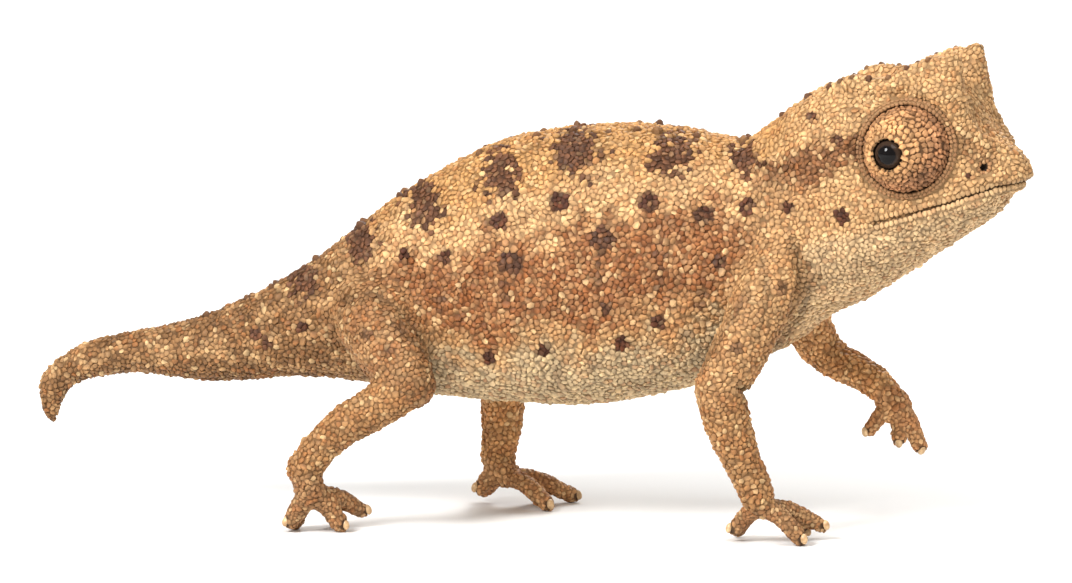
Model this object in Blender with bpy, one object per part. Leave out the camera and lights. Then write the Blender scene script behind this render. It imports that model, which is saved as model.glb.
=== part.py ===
"""A nano chameleon, life size, caught in mid stride: the solids of a still model.

+X points the way the animal walks, +Y to its left, +Z up. The floor is at z = 0, three feet
stand on it, and the left hand is lifted for the next step. Lengths in the tables are
millimetres, and MM turns them into metres.
"""

import math
import random

import bmesh
import bpy
from mathutils import Vector

MM = 0.001

# Gaps between neighbouring solids
PART_GAP = 0.30 * MM
EYE_GAP = 0.18 * MM

# The head turns to the animal's right, and the tail swings gently to its left
NECK_BEND_START = 5.4 * MM
NECK_BEND_LENGTH = 1.6 * MM
HEAD_TURN = math.radians(10.0)
TAIL_SWING_START = -4.0 * MM
TAIL_SWING_LENGTH = 9.6 * MM
TAIL_SWING = 0.7 * MM

# The body's sections from tail tip to snout. Each has the back point (x, z), the belly
# point (x, z), the half width, the height of the widest level (0 belly, 1 back), and how
# square the upper and lower halves are (2 is an ellipse).
BODY_SECTIONS = [
    ((-13.50, 2.30), (-13.26, 2.24), 0.13, 0.50, 2.0, 2.0),
    ((-13.68, 2.58), (-13.20, 2.45), 0.26, 0.50, 2.0, 2.0),
    ((-13.77, 3.00), (-13.08, 2.84), 0.38, 0.50, 2.0, 2.0),
    ((-13.70, 3.54), (-12.84, 3.24), 0.48, 0.50, 2.0, 2.0),
    ((-13.24, 4.08), (-12.42, 3.50), 0.56, 0.50, 2.0, 2.0),
    ((-12.48, 4.56), (-11.70, 3.66), 0.60, 0.50, 2.0, 2.0),
    ((-11.22, 4.92), (-10.78, 3.76), 0.64, 0.50, 2.0, 2.0),
    ((-9.55, 5.33), (-9.38, 3.64), 0.82, 0.50, 2.0, 2.0),
    ((-8.15, 5.88), (-7.86, 3.66), 1.00, 0.50, 2.0, 2.0),
    ((-6.76, 6.66), (-6.48, 3.84), 1.22, 0.49, 2.1, 2.0),
    ((-5.50, 7.52), (-5.23, 3.80), 1.45, 0.48, 2.1, 2.0),
    ((-4.13, 8.64), (-3.90, 3.62), 1.75, 0.46, 2.1, 2.0),
    ((-2.60, 9.64), (-2.50, 3.45), 2.12, 0.43, 2.1, 2.1),
    ((-0.69, 10.56), (-0.69, 3.34), 2.52, 0.41, 2.1, 2.1),
    ((1.75, 11.02), (1.68, 3.34), 2.78, 0.40, 2.1, 2.1),
    ((3.99, 11.00), (3.99, 3.78), 2.66, 0.41, 2.1, 2.1),
    ((5.20, 10.80), (5.75, 4.45), 2.36, 0.43, 2.1, 2.1),
    ((5.95, 10.78), (7.20, 5.20), 2.12, 0.44, 2.1, 2.1),
    ((7.00, 11.58), (7.85, 5.70), 2.08, 0.43, 2.3, 2.1),
    ((8.05, 12.28), (8.45, 6.10), 2.16, 0.40, 2.6, 2.1),
    ((9.05, 12.52), (9.20, 6.46), 2.16, 0.38, 3.0, 2.1),
    ((10.05, 12.58), (10.05, 7.00), 2.02, 0.36, 3.2, 2.2),
    ((11.00, 12.62), (10.95, 7.60), 1.84, 0.36, 3.2, 2.2),
    ((11.78, 12.74), (11.75, 8.12), 1.62, 0.36, 3.0, 2.2),
    ((12.36, 12.20), (12.40, 8.54), 1.38, 0.38, 2.6, 2.2),
    ((12.86, 11.45), (12.95, 8.92), 1.14, 0.40, 2.4, 2.2),
    ((13.34, 11.00), (13.40, 9.30), 0.88, 0.42, 2.3, 2.2),
    ((13.74, 10.72), (13.70, 9.62), 0.60, 0.46, 2.2, 2.2),
    ((13.97, 10.46), (13.88, 9.90), 0.30, 0.50, 2.0, 2.0),
]

# Where the body is parted, as positions in BODY_SECTIONS
TAIL_TIP_END = 5.0
TAIL_MIDDLE_END = 8.0
TAIL_BASE_END = 10.6
TORSO_END = 17.0
NECK_END = 19.0
SNOUT_END = len(BODY_SECTIONS) - 1.0

# Crests of the head, each a path of (x, y, z, radius) on the right side
BROW_CREST = [
    (8.46, 0.88, 12.16, 0.18),
    (8.86, 1.00, 12.36, 0.26),
    (9.40, 1.08, 12.54, 0.28),
    (10.15, 1.12, 12.50, 0.28),
    (10.90, 1.08, 12.76, 0.33),
    (11.45, 1.00, 12.98, 0.38),
]
BROW_CONE = [
    (11.62, 0.94, 12.16, 0.84),
    (11.80, 0.92, 12.72, 0.62),
    (11.96, 0.90, 13.06, 0.44),
    (12.08, 0.88, 13.30, 0.28),
]
PREORBITAL_CREST = [
    (12.14, 0.90, 13.12, 0.22),
    (12.24, 0.95, 12.40, 0.25),
    (12.34, 0.97, 11.84, 0.25),
    (12.72, 0.84, 11.28, 0.21),
    (13.20, 0.55, 10.98, 0.14),
]
CANTHAL_RIDGE = [
    (12.12, 1.36, 11.62, 0.17),
    (12.55, 1.12, 11.26, 0.20),
    (13.05, 0.72, 10.90, 0.16),
]
TEMPORAL_CREST = [
    (9.86, 1.66, 11.10, 0.16),
    (9.30, 1.86, 11.02, 0.22),
    (8.66, 1.92, 10.82, 0.16),
]

# Eyes: the axis of each turret runs straight out sideways from this centre
EYE_X = 11.01 * MM
EYE_Z = 10.94 * MM
EYE_CENTRE_Y = 0.95 * MM
TURRET_PROFILE = [
    (-0.55, 0.55), (-0.35, 0.86), (0.00, 1.06), (0.40, 1.14), (0.72, 1.08),
    (1.02, 0.94), (1.30, 0.76), (1.48, 0.62), (1.54, 0.55), (1.50, 0.49),
    (1.10, 0.48),
]
EYEBALL_PROFILE = [
    (1.22, 0.24), (1.28, 0.34), (1.42, 0.37), (1.52, 0.34), (1.60, 0.25), (1.64, 0.12),
]
ORBIT_RADIUS = 1.36 * MM
ORBIT_RIM = 0.17 * MM
ORBIT_RIM_Y = 1.60 * MM

# The ring round an eye leans with the side of the head, inwards to the front and the top
ORBIT_LEAN_FRONT = 0.22 / 1.36
ORBIT_LEAN_TOP = 0.18 / 1.36
CLEARING_PROFILE = [(0.20, 1.20), (0.55, 1.40), (0.64, 1.54), (1.90, 2.90)]

# The mouth line on the right side, as (x, z)
MOUTH_LINE = [(10.20, 8.90), (11.10, 9.16), (12.10, 9.48), (13.00, 9.79), (13.60, 9.94)]
MOUTH_FRONT = (13.95, 10.02)
MOUTH_HEIGHT = 0.13 * MM
MOUTH_DEPTH = 0.26 * MM
LIP_RADIUS = 0.17 * MM
LIP_OFFSET = 0.20 * MM

# Nostrils
NOSTRIL_CENTRE = (12.98, 0.80, 10.50)
NOSTRIL_RIM_RADIUS = 0.27 * MM
NOSTRIL_HOLE_RADIUS = 0.12 * MM

# Limbs, each a list of (x, y, z, radius) down to the wrist or ankle
RIGHT_ARM = [
    (6.98, -1.30, 7.60, 0.98), (6.84, -2.20, 6.95, 0.96), (6.24, -2.76, 5.60, 0.82),
    (5.62, -2.98, 4.30, 0.74),
]
RIGHT_FOREARM = [
    (5.62, -2.98, 4.30, 0.72), (5.80, -2.98, 3.40, 0.66), (6.20, -2.86, 2.30, 0.55),
    (6.58, -2.70, 1.34, 0.49),
]
LEFT_ARM = [
    (6.85, 1.30, 7.50, 0.94), (6.80, 2.15, 6.85, 0.90), (6.90, 2.72, 5.72, 0.74),
    (7.25, 2.95, 4.64, 0.64),
]
LEFT_FOREARM = [
    (7.25, 2.95, 4.64, 0.61), (7.76, 2.85, 4.24, 0.54), (8.74, 2.59, 3.83, 0.47),
    (9.12, 2.48, 3.55, 0.45),
]
RIGHT_THIGH = [
    (-4.20, -1.10, 5.90, 1.18), (-3.82, -1.95, 5.45, 1.14), (-3.30, -2.72, 4.80, 0.92),
    (-2.86, -3.10, 4.20, 0.70),
]
RIGHT_SHANK = [
    (-2.86, -3.10, 4.20, 0.66), (-3.86, -3.10, 3.54, 0.63), (-4.97, -3.02, 2.81, 0.54),
    (-5.84, -2.92, 1.80, 0.51),
]
LEFT_THIGH = [
    (-4.10, 1.10, 5.90, 1.00), (-3.50, 2.05, 5.50, 0.94), (-2.60, 2.80, 5.00, 0.80),
    (-1.70, 3.05, 4.62, 0.68),
]
LEFT_SHANK = [
    (-1.70, 3.05, 4.62, 0.70), (-1.48, 3.02, 3.60, 0.68), (-1.40, 2.92, 2.40, 0.60),
    (-1.50, 2.80, 1.34, 0.49),
]

# Hands and feet: the middle of the palm or sole, and the tip of each toe
RIGHT_HAND = {
    "palm": (6.70, -2.60, 1.02, 0.38),
    "toes": [
        (7.78, -2.66, 0.19), (8.16, -1.60, 0.40), (7.62, -1.50, 0.19),
        (5.90, -2.30, 0.37), (5.84, -1.60, 0.24),
    ],
}
LEFT_HAND = {
    "palm": (9.56, 2.38, 3.12, 0.42),
    "toes": [
        (10.12, 2.60, 2.00), (9.64, 2.16, 2.24), (9.97, 2.90, 2.22),
        (8.83, 2.10, 2.49), (8.94, 2.50, 2.66),
    ],
}
RIGHT_FOOT = {
    "palm": (-5.66, -2.85, 1.06, 0.40),
    "toes": [
        (-4.90, -2.46, 0.19), (-4.47, -1.50, 0.45), (-5.16, -1.50, 0.19),
        (-6.24, -2.70, 0.28), (-6.24, -2.20, 0.19),
    ],
}
LEFT_FOOT = {
    "palm": (-1.36, 2.78, 0.86, 0.40),
    "toes": [
        (-0.02, 2.08, 0.19), (0.39, 3.68, 0.19), (-0.44, 3.30, 0.19),
        (-1.98, 2.66, 0.50), (-2.00, 3.40, 0.34),
    ],
}
TOE_ROOT_RADIUS = 0.27 * MM
TOE_PAD_RADIUS = 0.25 * MM
TOE_ARCH = 0.14 * MM
CLAW_RADIUS = 0.12 * MM
CLAW_LENGTH = 0.27 * MM
CLAW_TIP_RADIUS = 0.05 * MM
CLAW_DROP = 0.08 * MM

# Tubercles: small cones in two rows along the back and on the crests
TUBERCLE_RADIUS = 0.20 * MM
TUBERCLE_HEIGHT = 0.24 * MM
TUBERCLE_SUNK = 0.16 * MM
TUBERCLE_SIDES = 6
TUBERCLE_SEED = 11
BACK_ROW_TURN = math.radians(20.0)

# Colours of the materials, as linear red, green and blue
SKIN_TAN = (0.42, 0.27, 0.13)
SKIN_BROWN = (0.30, 0.17, 0.08)
EYE_BROWN = (0.03, 0.015, 0.01)


def smooth_value(rows, position):
    """Values at a position along rows of numbers, by a Catmull-Rom curve through them."""
    last = len(rows) - 1
    position = min(max(position, 0.0), float(last))
    start = min(int(position), last - 1)
    t = position - start
    before = rows[max(start - 1, 0)]
    a = rows[start]
    b = rows[start + 1]
    after = rows[min(start + 2, last)]
    values = []
    for p0, p1, p2, p3 in zip(before, a, b, after):
        bend = 2.0 * p0 - 5.0 * p1 + 4.0 * p2 - p3
        sway = -p0 + 3.0 * p1 - 3.0 * p2 + p3
        values.append(0.5 * (2.0 * p1 + (p2 - p0) * t + bend * t * t + sway * t * t * t))
    return values


SECTION_ROWS = [back + belly + tuple(rest) for back, belly, *rest in BODY_SECTIONS]


def signed_power(value, power):
    """A power that keeps the sign of its base."""
    return math.copysign(abs(value) ** power, value)


def straight_body_point(position, turn, grow=0.0):
    """A point of the skin before the body is bent; turn is 0 on the back, 90 on the left."""
    row = smooth_value(SECTION_ROWS, position)
    back = Vector((row[0], 0.0, row[1])) * MM
    belly = Vector((row[2], 0.0, row[3])) * MM
    half_width = row[4] * MM + grow
    centre = belly.lerp(back, row[5])
    upper = math.cos(turn) >= 0.0
    reach = (back if upper else belly) - centre
    reach *= 1.0 + grow / reach.length
    squareness = row[6] if upper else row[7]
    lift = abs(math.cos(turn)) ** (2.0 / squareness)
    side = signed_power(math.sin(turn), 2.0 / squareness)
    return centre + reach * lift + Vector((0.0, half_width * side, 0.0))


def bent(point):
    """The place of a point after the neck and tail are bent."""
    x, y, z = point
    if x < TAIL_SWING_START:
        y += TAIL_SWING * ((TAIL_SWING_START - x) / TAIL_SWING_LENGTH) ** 2
        return Vector((x, y, z))
    along = min(max(x - NECK_BEND_START, 0.0), NECK_BEND_LENGTH)
    beyond = max(x - NECK_BEND_START - NECK_BEND_LENGTH, 0.0)
    turned = HEAD_TURN * along / NECK_BEND_LENGTH
    radius = NECK_BEND_LENGTH / HEAD_TURN
    axis_x = min(x, NECK_BEND_START) + radius * math.sin(turned) + beyond * math.cos(turned)
    axis_y = -radius * (1.0 - math.cos(turned)) - beyond * math.sin(turned)
    return Vector((axis_x + y * math.sin(turned), axis_y + y * math.cos(turned), z))


def body_point(position, turn, grow=0.0):
    """A point of the skin in its place."""
    return bent(straight_body_point(position, turn, grow))


def body_normal(position, turn):
    """The outward direction of the skin at a point."""
    step = 0.02
    along = body_point(position + step, turn) - body_point(position - step, turn)
    around = body_point(position, turn + step) - body_point(position, turn - step)
    return along.cross(around).normalized() * -1.0


def add_object(name, bm):
    """Turns a closed bmesh into an object with its faces pointing out."""
    bmesh.ops.recalc_face_normals(bm, faces=bm.faces)
    if bm.calc_volume(signed=True) < 0.0:
        bmesh.ops.reverse_faces(bm, faces=bm.faces)
    mesh = bpy.data.meshes.new(name)
    bm.to_mesh(mesh)
    bm.free()
    obj = bpy.data.objects.new(name, mesh)
    bpy.context.scene.collection.objects.link(obj)
    return obj


def loft(name, rings, tips=(None, None)):
    """A closed solid through rings of equally many points, with flat or pointed ends."""
    bm = bmesh.new()
    loops = [[bm.verts.new(point) for point in ring] for ring in rings]
    for lower, upper in zip(loops, loops[1:]):
        for i in range(len(lower)):
            j = (i + 1) % len(lower)
            bm.faces.new((lower[i], lower[j], upper[j], upper[i]))
    for loop, tip in ((loops[0], tips[0]), (loops[-1], tips[1])):
        if tip is None:
            tip = sum((vert.co for vert in loop), Vector()) / len(loop)
        centre = bm.verts.new(tip)
        for i in range(len(loop)):
            bm.faces.new((loop[i], loop[(i + 1) % len(loop)], centre))
    bmesh.ops.triangulate(bm, faces=bm.faces)
    return add_object(name, bm)


def body_length(start, end):
    """The rough distance along the middle of the body between two positions."""
    steps = 20
    total = 0.0
    for i in range(steps):
        a = start + (end - start) * i / steps
        b = start + (end - start) * (i + 1) / steps
        first = body_point(a, 0.0).lerp(body_point(a, math.pi), 0.5)
        second = body_point(b, 0.0).lerp(body_point(b, math.pi), 0.5)
        total += (second - first).length
    return total


def body_loft(name, start, end, around, spacing, grow=0.0, tips=(None, None)):
    """A length of the body between two positions in BODY_SECTIONS."""
    steps = max(3, round(body_length(start, end) / spacing))
    rings = []
    for i in range(steps + 1):
        position = start + (end - start) * i / steps
        turns = [2.0 * math.pi * j / around for j in range(around)]
        rings.append([body_point(position, turn, grow) for turn in turns])
    return loft(name, rings, tips)


def gap_share(position):
    """The share of a section's step that makes half a gap at this position."""
    length = body_length(position - 0.5, position + 0.5)
    return 0.5 * PART_GAP / length


def curve_points(path, steps):
    """Centre points and radii at even steps along a path of (x, y, z, radius)."""
    samples = []
    for i in range(steps + 1):
        x, y, z, radius = smooth_value(path, (len(path) - 1) * i / steps)
        samples.append((Vector((x, y, z)) * MM, radius * MM))
    return samples


def ring_around(centre, direction, radius, sides):
    """A circle of points about a direction."""
    turn = direction.to_track_quat("Z", "Y")
    points = []
    for i in range(sides):
        angle = 2.0 * math.pi * i / sides
        offset = Vector((math.cos(angle), math.sin(angle), 0.0)) * radius
        points.append(centre + turn @ offset)
    return points


def tube(name, samples, sides, move=None, round_ends=True):
    """A closed tube through (centre, radius) samples, with domed ends."""
    centres = [centre for centre, radius in samples]
    radii = [radius for centre, radius in samples]
    directions = []
    for i in range(len(centres)):
        ahead = centres[min(i + 1, len(centres) - 1)]
        behind = centres[max(i - 1, 0)]
        directions.append((ahead - behind).normalized())
    rings = []
    for centre, radius, direction in zip(centres, radii, directions):
        rings.append(ring_around(centre, direction, radius, sides))
    first_tip = centres[0]
    last_tip = centres[-1]
    if round_ends:
        dome = 0.7
        start = centres[0] - directions[0] * radii[0] * dome
        end = centres[-1] + directions[-1] * radii[-1] * dome
        rings.insert(0, ring_around(start, directions[0], radii[0] * dome, sides))
        rings.append(ring_around(end, directions[-1], radii[-1] * dome, sides))
        first_tip = centres[0] - directions[0] * radii[0]
        last_tip = centres[-1] + directions[-1] * radii[-1]
    if move:
        rings = [[move(point) for point in ring] for ring in rings]
        first_tip = move(first_tip)
        last_tip = move(last_tip)
    return loft(name, rings, (first_tip, last_tip))


def run_boolean(target, operation, tools):
    """Joins tools to the target or cuts them from it, and removes them."""
    group = bpy.data.collections.new("tools")
    bpy.context.scene.collection.children.link(group)
    for tool in tools:
        bpy.context.scene.collection.objects.unlink(tool)
        group.objects.link(tool)
    modifier = target.modifiers.new("Boolean", "BOOLEAN")
    modifier.operation = operation
    modifier.solver = "EXACT"
    modifier.operand_type = "COLLECTION"
    modifier.collection = group
    bpy.context.view_layer.update()
    depsgraph = bpy.context.evaluated_depsgraph_get()
    mesh = bpy.data.meshes.new_from_object(target.evaluated_get(depsgraph))
    target.modifiers.clear()
    old_mesh = target.data
    target.data = mesh
    bpy.data.meshes.remove(old_mesh)
    for tool in tools:
        bpy.data.objects.remove(tool)
    bpy.data.collections.remove(group)
    keep_largest_surface(target)


def keep_largest_surface(obj):
    """Drops every closed surface of an object but the largest."""
    bm = bmesh.new()
    bm.from_mesh(obj.data)
    unseen = set(bm.verts)
    largest = set()
    while unseen:
        island = set()
        queue = [unseen.pop()]
        while queue:
            vert = queue.pop()
            island.add(vert)
            for edge in vert.link_edges:
                other = edge.other_vert(vert)
                if other in unseen:
                    unseen.remove(other)
                    queue.append(other)
        if len(island) > len(largest):
            largest = island
    extra = [vert for vert in bm.verts if vert not in largest]
    bmesh.ops.delete(bm, geom=extra, context="VERTS")
    bmesh.ops.triangulate(bm, faces=bm.faces)
    bm.to_mesh(obj.data)
    bm.free()


def cut_by_plane(obj, point, normal):
    """Removes what lies on the normal's side of a plane and closes the cut flat."""
    bm = bmesh.new()
    bm.from_mesh(obj.data)
    geometry = bm.verts[:] + bm.edges[:] + bm.faces[:]
    bmesh.ops.bisect_plane(
        bm, geom=geometry, dist=1e-7, plane_co=point, plane_no=normal, clear_outer=True)
    rim = [edge for edge in bm.edges if edge.is_boundary]
    bmesh.ops.holes_fill(bm, edges=rim, sides=0)
    bmesh.ops.triangulate(bm, faces=bm.faces)
    bmesh.ops.recalc_face_normals(bm, faces=bm.faces)
    bm.to_mesh(obj.data)
    bm.free()


def tubercle(foot, direction, size=1.0):
    """A small blunt cone with its root sunk in the skin."""
    radius = TUBERCLE_RADIUS * size
    height = TUBERCLE_HEIGHT * size
    rings = [
        ring_around(foot - direction * TUBERCLE_SUNK, direction, radius, TUBERCLE_SIDES),
        ring_around(foot + direction * height * 0.55, direction, radius * 0.62, TUBERCLE_SIDES),
    ]
    return loft("tubercle", rings, (None, foot + direction * height))


def back_tubercles(start, end, count, size):
    """Two rows of tubercles along the back between two positions of the body."""
    draw = random.Random(TUBERCLE_SEED + count)
    cones = []
    for i in range(count):
        position = start + (end - start) * (i + 0.5) / count
        for side in (-1.0, 1.0):
            place = position + draw.uniform(-0.06, 0.06)
            turn = side * BACK_ROW_TURN * draw.uniform(0.85, 1.15)
            foot = body_point(place, turn)
            cones.append(tubercle(foot, body_normal(place, turn), size * draw.uniform(0.85, 1.2)))
    return cones


def mirrored(path, side):
    """A path of the right side, or its mirror image for the left."""
    return [(x, side * y, z, radius) for x, y, z, radius in path]


def crest_tubercles(path, side, count, size):
    """Tubercles along a crest of the head, pointing up and out."""
    draw = random.Random(TUBERCLE_SEED)
    cones = []
    for i in range(count):
        x, y, z, radius = smooth_value(mirrored(path, side), (len(path) - 1) * (i + 0.5) / count)
        direction = Vector((0.0, side * 0.35, 1.0)).normalized()
        foot = Vector((x, y, z)) * MM + direction * radius * MM * 0.9
        ahead = bent(foot + direction * MM) - bent(foot)
        cones.append(tubercle(bent(foot), ahead.normalized(), size * draw.uniform(0.8, 1.2)))
    return cones


def orbit_lean(ahead, up):
    """How far out the plane of an eye's ring lies at an offset from the eye's axis."""
    return -ORBIT_LEAN_FRONT * ahead - ORBIT_LEAN_TOP * up


def turned(name, profile, centre, side, sides=20, leaning=False):
    """A solid turned about a sideways axis from (distance out, radius) pairs."""
    rings = []
    for distance, radius in profile:
        ring = []
        for i in range(sides):
            angle = 2.0 * math.pi * i / sides
            ahead = math.cos(angle) * radius
            up = math.sin(angle) * radius
            out = distance + (orbit_lean(ahead, up) if leaning else 0.0)
            ring.append(bent(centre + Vector((ahead, side * out, up)) * MM))
        rings.append(ring)
    return loft(name, rings)


def mouth_points():
    """Points of the mouth line on the right side with their outward directions."""
    points = []
    steps = 10
    for i in range(steps + 1):
        x, z = smooth_value(MOUTH_LINE, (len(MOUTH_LINE) - 1) * i / steps)
        position = position_at_x(x * MM)
        turn = turn_at_height(position, z * MM)
        surface = straight_body_point(position, -turn)
        points.append(Vector((x * MM, surface.y, z * MM)))
    return points


def position_at_x(x):
    """The position in BODY_SECTIONS whose middle lies at x, searched in the head."""
    low, high = NECK_END, SNOUT_END
    for _ in range(40):
        middle = 0.5 * (low + high)
        here = straight_body_point(middle, math.pi / 2.0).x
        if here < x:
            low = middle
        else:
            high = middle
    return 0.5 * (low + high)


def turn_at_height(position, z):
    """The turn from the back at which a section's skin comes down to a height."""
    low, high = 0.0, math.pi
    for _ in range(40):
        middle = 0.5 * (low + high)
        if straight_body_point(position, middle).z > z:
            low = middle
        else:
            high = middle
    return 0.5 * (low + high)


def mouth_path():
    """The whole mouth line from the right corner round the snout to the left corner."""
    right = mouth_points()
    front = Vector((MOUTH_FRONT[0], 0.0, MOUTH_FRONT[1])) * MM
    left = [Vector((p.x, -p.y, p.z)) for p in reversed(right)]
    return right + [front] + left


def mouth_band(name, path, inner, outer, low, high):
    """A band that follows the mouth line, from inner to outer, between two heights."""
    rings = []
    for i, point in enumerate(path):
        ahead = path[min(i + 1, len(path) - 1)]
        behind = path[max(i - 1, 0)]
        along = (ahead - behind).normalized()
        out = along.cross(Vector((0.0, 0.0, 1.0))).normalized()
        up = out.cross(along).normalized() * -1.0
        if up.z < 0.0:
            up.negate()
        corners = [(inner, low), (outer, low), (outer, high), (inner, high)]
        rings.append([bent(point + out * depth + up * height) for depth, height in corners])
    return loft(name, rings)


def lip_tube(path, offset):
    """The swelling of a lip just above or below the mouth line."""
    samples = []
    for i, point in enumerate(path):
        fade = math.sin(math.pi * (i + 0.6) / (len(path) + 0.2)) ** 0.4
        inward = Vector((-0.06 * MM, -0.35 * LIP_RADIUS * math.copysign(1.0, point.y), 0.0))
        if abs(point.y) < 1e-9:
            inward = Vector((-0.1 * MM, 0.0, 0.0))
        samples.append((point + inward + Vector((0.0, 0.0, offset)), LIP_RADIUS * fade))
    return tube("lip", samples, 6, bent)


def make_head():
    """The head with its crests, brow cones, lips, mouth line, nostrils and eye sockets."""
    start = NECK_END + gap_share(NECK_END)
    tip = bent(Vector((14.06, 0.0, 10.26)) * MM)
    head = body_loft("head", start, SNOUT_END, 44, 0.26 * MM, 0.0, (None, tip))
    clearings = []
    for side in (-1.0, 1.0):
        clearings.append(
            turned("clearing", CLEARING_PROFILE, eye_centre(side), side, 24, True))
    run_boolean(head, "DIFFERENCE", clearings)
    forms = []
    for side in (-1.0, 1.0):
        for path, steps, sides in (
                (BROW_CREST, 6, 8), (BROW_CONE, 5, 10), (PREORBITAL_CREST, 6, 8),
                (CANTHAL_RIDGE, 4, 7), (TEMPORAL_CREST, 4, 7)):
            forms.append(tube("crest", curve_points(mirrored(path, side), steps), sides, bent))
        forms.append(orbit_rim(side))
        forms.append(nostril_mound(side))
        forms.extend(crest_tubercles(BROW_CREST, side, 6, 0.6))
        forms.extend(crest_tubercles(CANTHAL_RIDGE, side, 3, 0.45))
    path = mouth_path()
    forms.append(lip_tube(path, LIP_OFFSET))
    forms.append(lip_tube(path, -LIP_OFFSET))
    run_boolean(head, "UNION", forms)
    half = 0.5 * MOUTH_HEIGHT
    cutters = [mouth_band("mouth", path, -MOUTH_DEPTH, 2.0 * MOUTH_DEPTH, -half, half)]
    for side in (-1.0, 1.0):
        cutters.append(eye_socket(side))
        cutters.append(nostril_hole(side))
    run_boolean(head, "DIFFERENCE", cutters)
    return head


def eye_centre(side):
    """The centre from which an eye's profile is measured, before the head turns."""
    return Vector((EYE_X, side * EYE_CENTRE_Y, EYE_Z))


def orbit_rim(side):
    """The raised ring of skin round an eye."""
    around = 24
    across = 6
    bm = bmesh.new()
    loops = []
    for i in range(around):
        angle = 2.0 * math.pi * i / around
        out = Vector((math.cos(angle), 0.0, math.sin(angle)))
        plane = ORBIT_RIM_Y + ORBIT_RADIUS * orbit_lean(out.x, out.z)
        centre = Vector((EYE_X, side * plane, EYE_Z))
        loop = []
        for j in range(across):
            turn = 2.0 * math.pi * j / across
            offset = out * math.cos(turn) + Vector((0.0, side * 1.3 * math.sin(turn), 0.0))
            point = centre + out * ORBIT_RADIUS + offset * ORBIT_RIM
            loop.append(bm.verts.new(bent(point)))
        loops.append(loop)
    for i in range(around):
        a = loops[i]
        b = loops[(i + 1) % around]
        for j in range(across):
            k = (j + 1) % across
            bm.faces.new((a[j], b[j], b[k], a[k]))
    bmesh.ops.triangulate(bm, faces=bm.faces)
    return add_object("orbit_rim", bm)


def eye_socket(side):
    """The hollow that a turret sits in, a gap wider than the turret."""
    gap = EYE_GAP / MM
    profile = [(distance, radius + gap) for distance, radius in TURRET_PROFILE[:5]]
    deepest = TURRET_PROFILE[0][0] - gap
    widest = max(radius for distance, radius in profile)
    profile = [(deepest, TURRET_PROFILE[0][1])] + profile[1:4]
    profile += [(0.9, widest), (2.4, widest)]
    return turned("socket", profile, eye_centre(side), side, 24)


def nostril_frame(side):
    """The place and outward direction of a nostril."""
    x, y, z = NOSTRIL_CENTRE
    centre = Vector((x, side * y, z)) * MM
    out = Vector((0.45, side * 1.0, 0.25)).normalized()
    return centre, out


def nostril_mound(side):
    """The low swelling round a nostril."""
    centre, out = nostril_frame(side)
    rings = [
        ring_around(centre - out * 0.5 * MM, out, NOSTRIL_RIM_RADIUS, 10),
        ring_around(centre + out * 0.02 * MM, out, NOSTRIL_RIM_RADIUS, 10),
        ring_around(centre + out * 0.10 * MM, out, 0.75 * NOSTRIL_RIM_RADIUS, 10),
    ]
    rings = [[bent(point) for point in ring] for ring in rings]
    return loft("mound", rings)


def nostril_hole(side):
    """The blind hole of a nostril."""
    centre, out = nostril_frame(side)
    rings = [
        ring_around(centre - out * 0.22 * MM, out, 0.6 * NOSTRIL_HOLE_RADIUS, 8),
        ring_around(centre - out * 0.05 * MM, out, NOSTRIL_HOLE_RADIUS, 8),
        ring_around(centre + out * 0.50 * MM, out, NOSTRIL_HOLE_RADIUS, 8),
    ]
    rings = [[bent(point) for point in ring] for ring in rings]
    return loft("hole", rings)


def make_eyes():
    """The turrets of fused lids and the eyeballs that look out of them."""
    solids = []
    for side, word in ((-1.0, "right"), (1.0, "left")):
        solids.append(turned(word + "_eye_turret", TURRET_PROFILE, eye_centre(side), side, 24))
        solids.append(turned(word + "_eyeball", EYEBALL_PROFILE, eye_centre(side), side, 16))
    return solids


def make_trunk():
    """Neck, torso and the three lengths of the tail."""
    first_gap = gap_share(TAIL_TIP_END)
    second_gap = gap_share(TAIL_MIDDLE_END)
    third_gap = gap_share(TAIL_BASE_END)
    fourth_gap = gap_share(TORSO_END)
    fifth_gap = gap_share(NECK_END)
    tip = bent(Vector((-13.38, 0.0, 2.28)) * MM)
    tail_tip = body_loft(
        "tail_tip", 0.0, TAIL_TIP_END - first_gap, 14, 0.34 * MM, 0.0, (tip, None))
    tail_middle = body_loft(
        "tail_middle", TAIL_TIP_END + first_gap, TAIL_MIDDLE_END - second_gap, 18, 0.5 * MM)
    tail_base = body_loft(
        "tail_base", TAIL_MIDDLE_END + second_gap, TAIL_BASE_END - third_gap, 26, 0.5 * MM)
    torso = body_loft(
        "torso", TAIL_BASE_END + third_gap, TORSO_END - fourth_gap, 36, 0.55 * MM)
    neck = body_loft("neck", TORSO_END + fourth_gap, NECK_END - fifth_gap, 36, 0.45 * MM)
    run_boolean(tail_middle, "UNION", back_tubercles(5.4, 7.8, 3, 0.6))
    run_boolean(tail_base, "UNION", back_tubercles(8.2, 10.4, 3, 0.8))
    run_boolean(torso, "UNION", back_tubercles(10.9, 16.7, 9, 1.0))
    run_boolean(neck, "UNION", back_tubercles(17.2, 18.8, 2, 0.95))
    return [tail_tip, tail_middle, tail_base, torso, neck]


def body_envelope():
    """The trunk grown by one gap, which limbs are cut by where they meet it."""
    return body_loft("envelope", 8.5, 20.5, 36, 0.5 * MM, PART_GAP)


def limb_segment(name, path, sides, steps):
    """One segment of a limb with domed ends."""
    return tube(name, curve_points(path, steps), sides)


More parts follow.
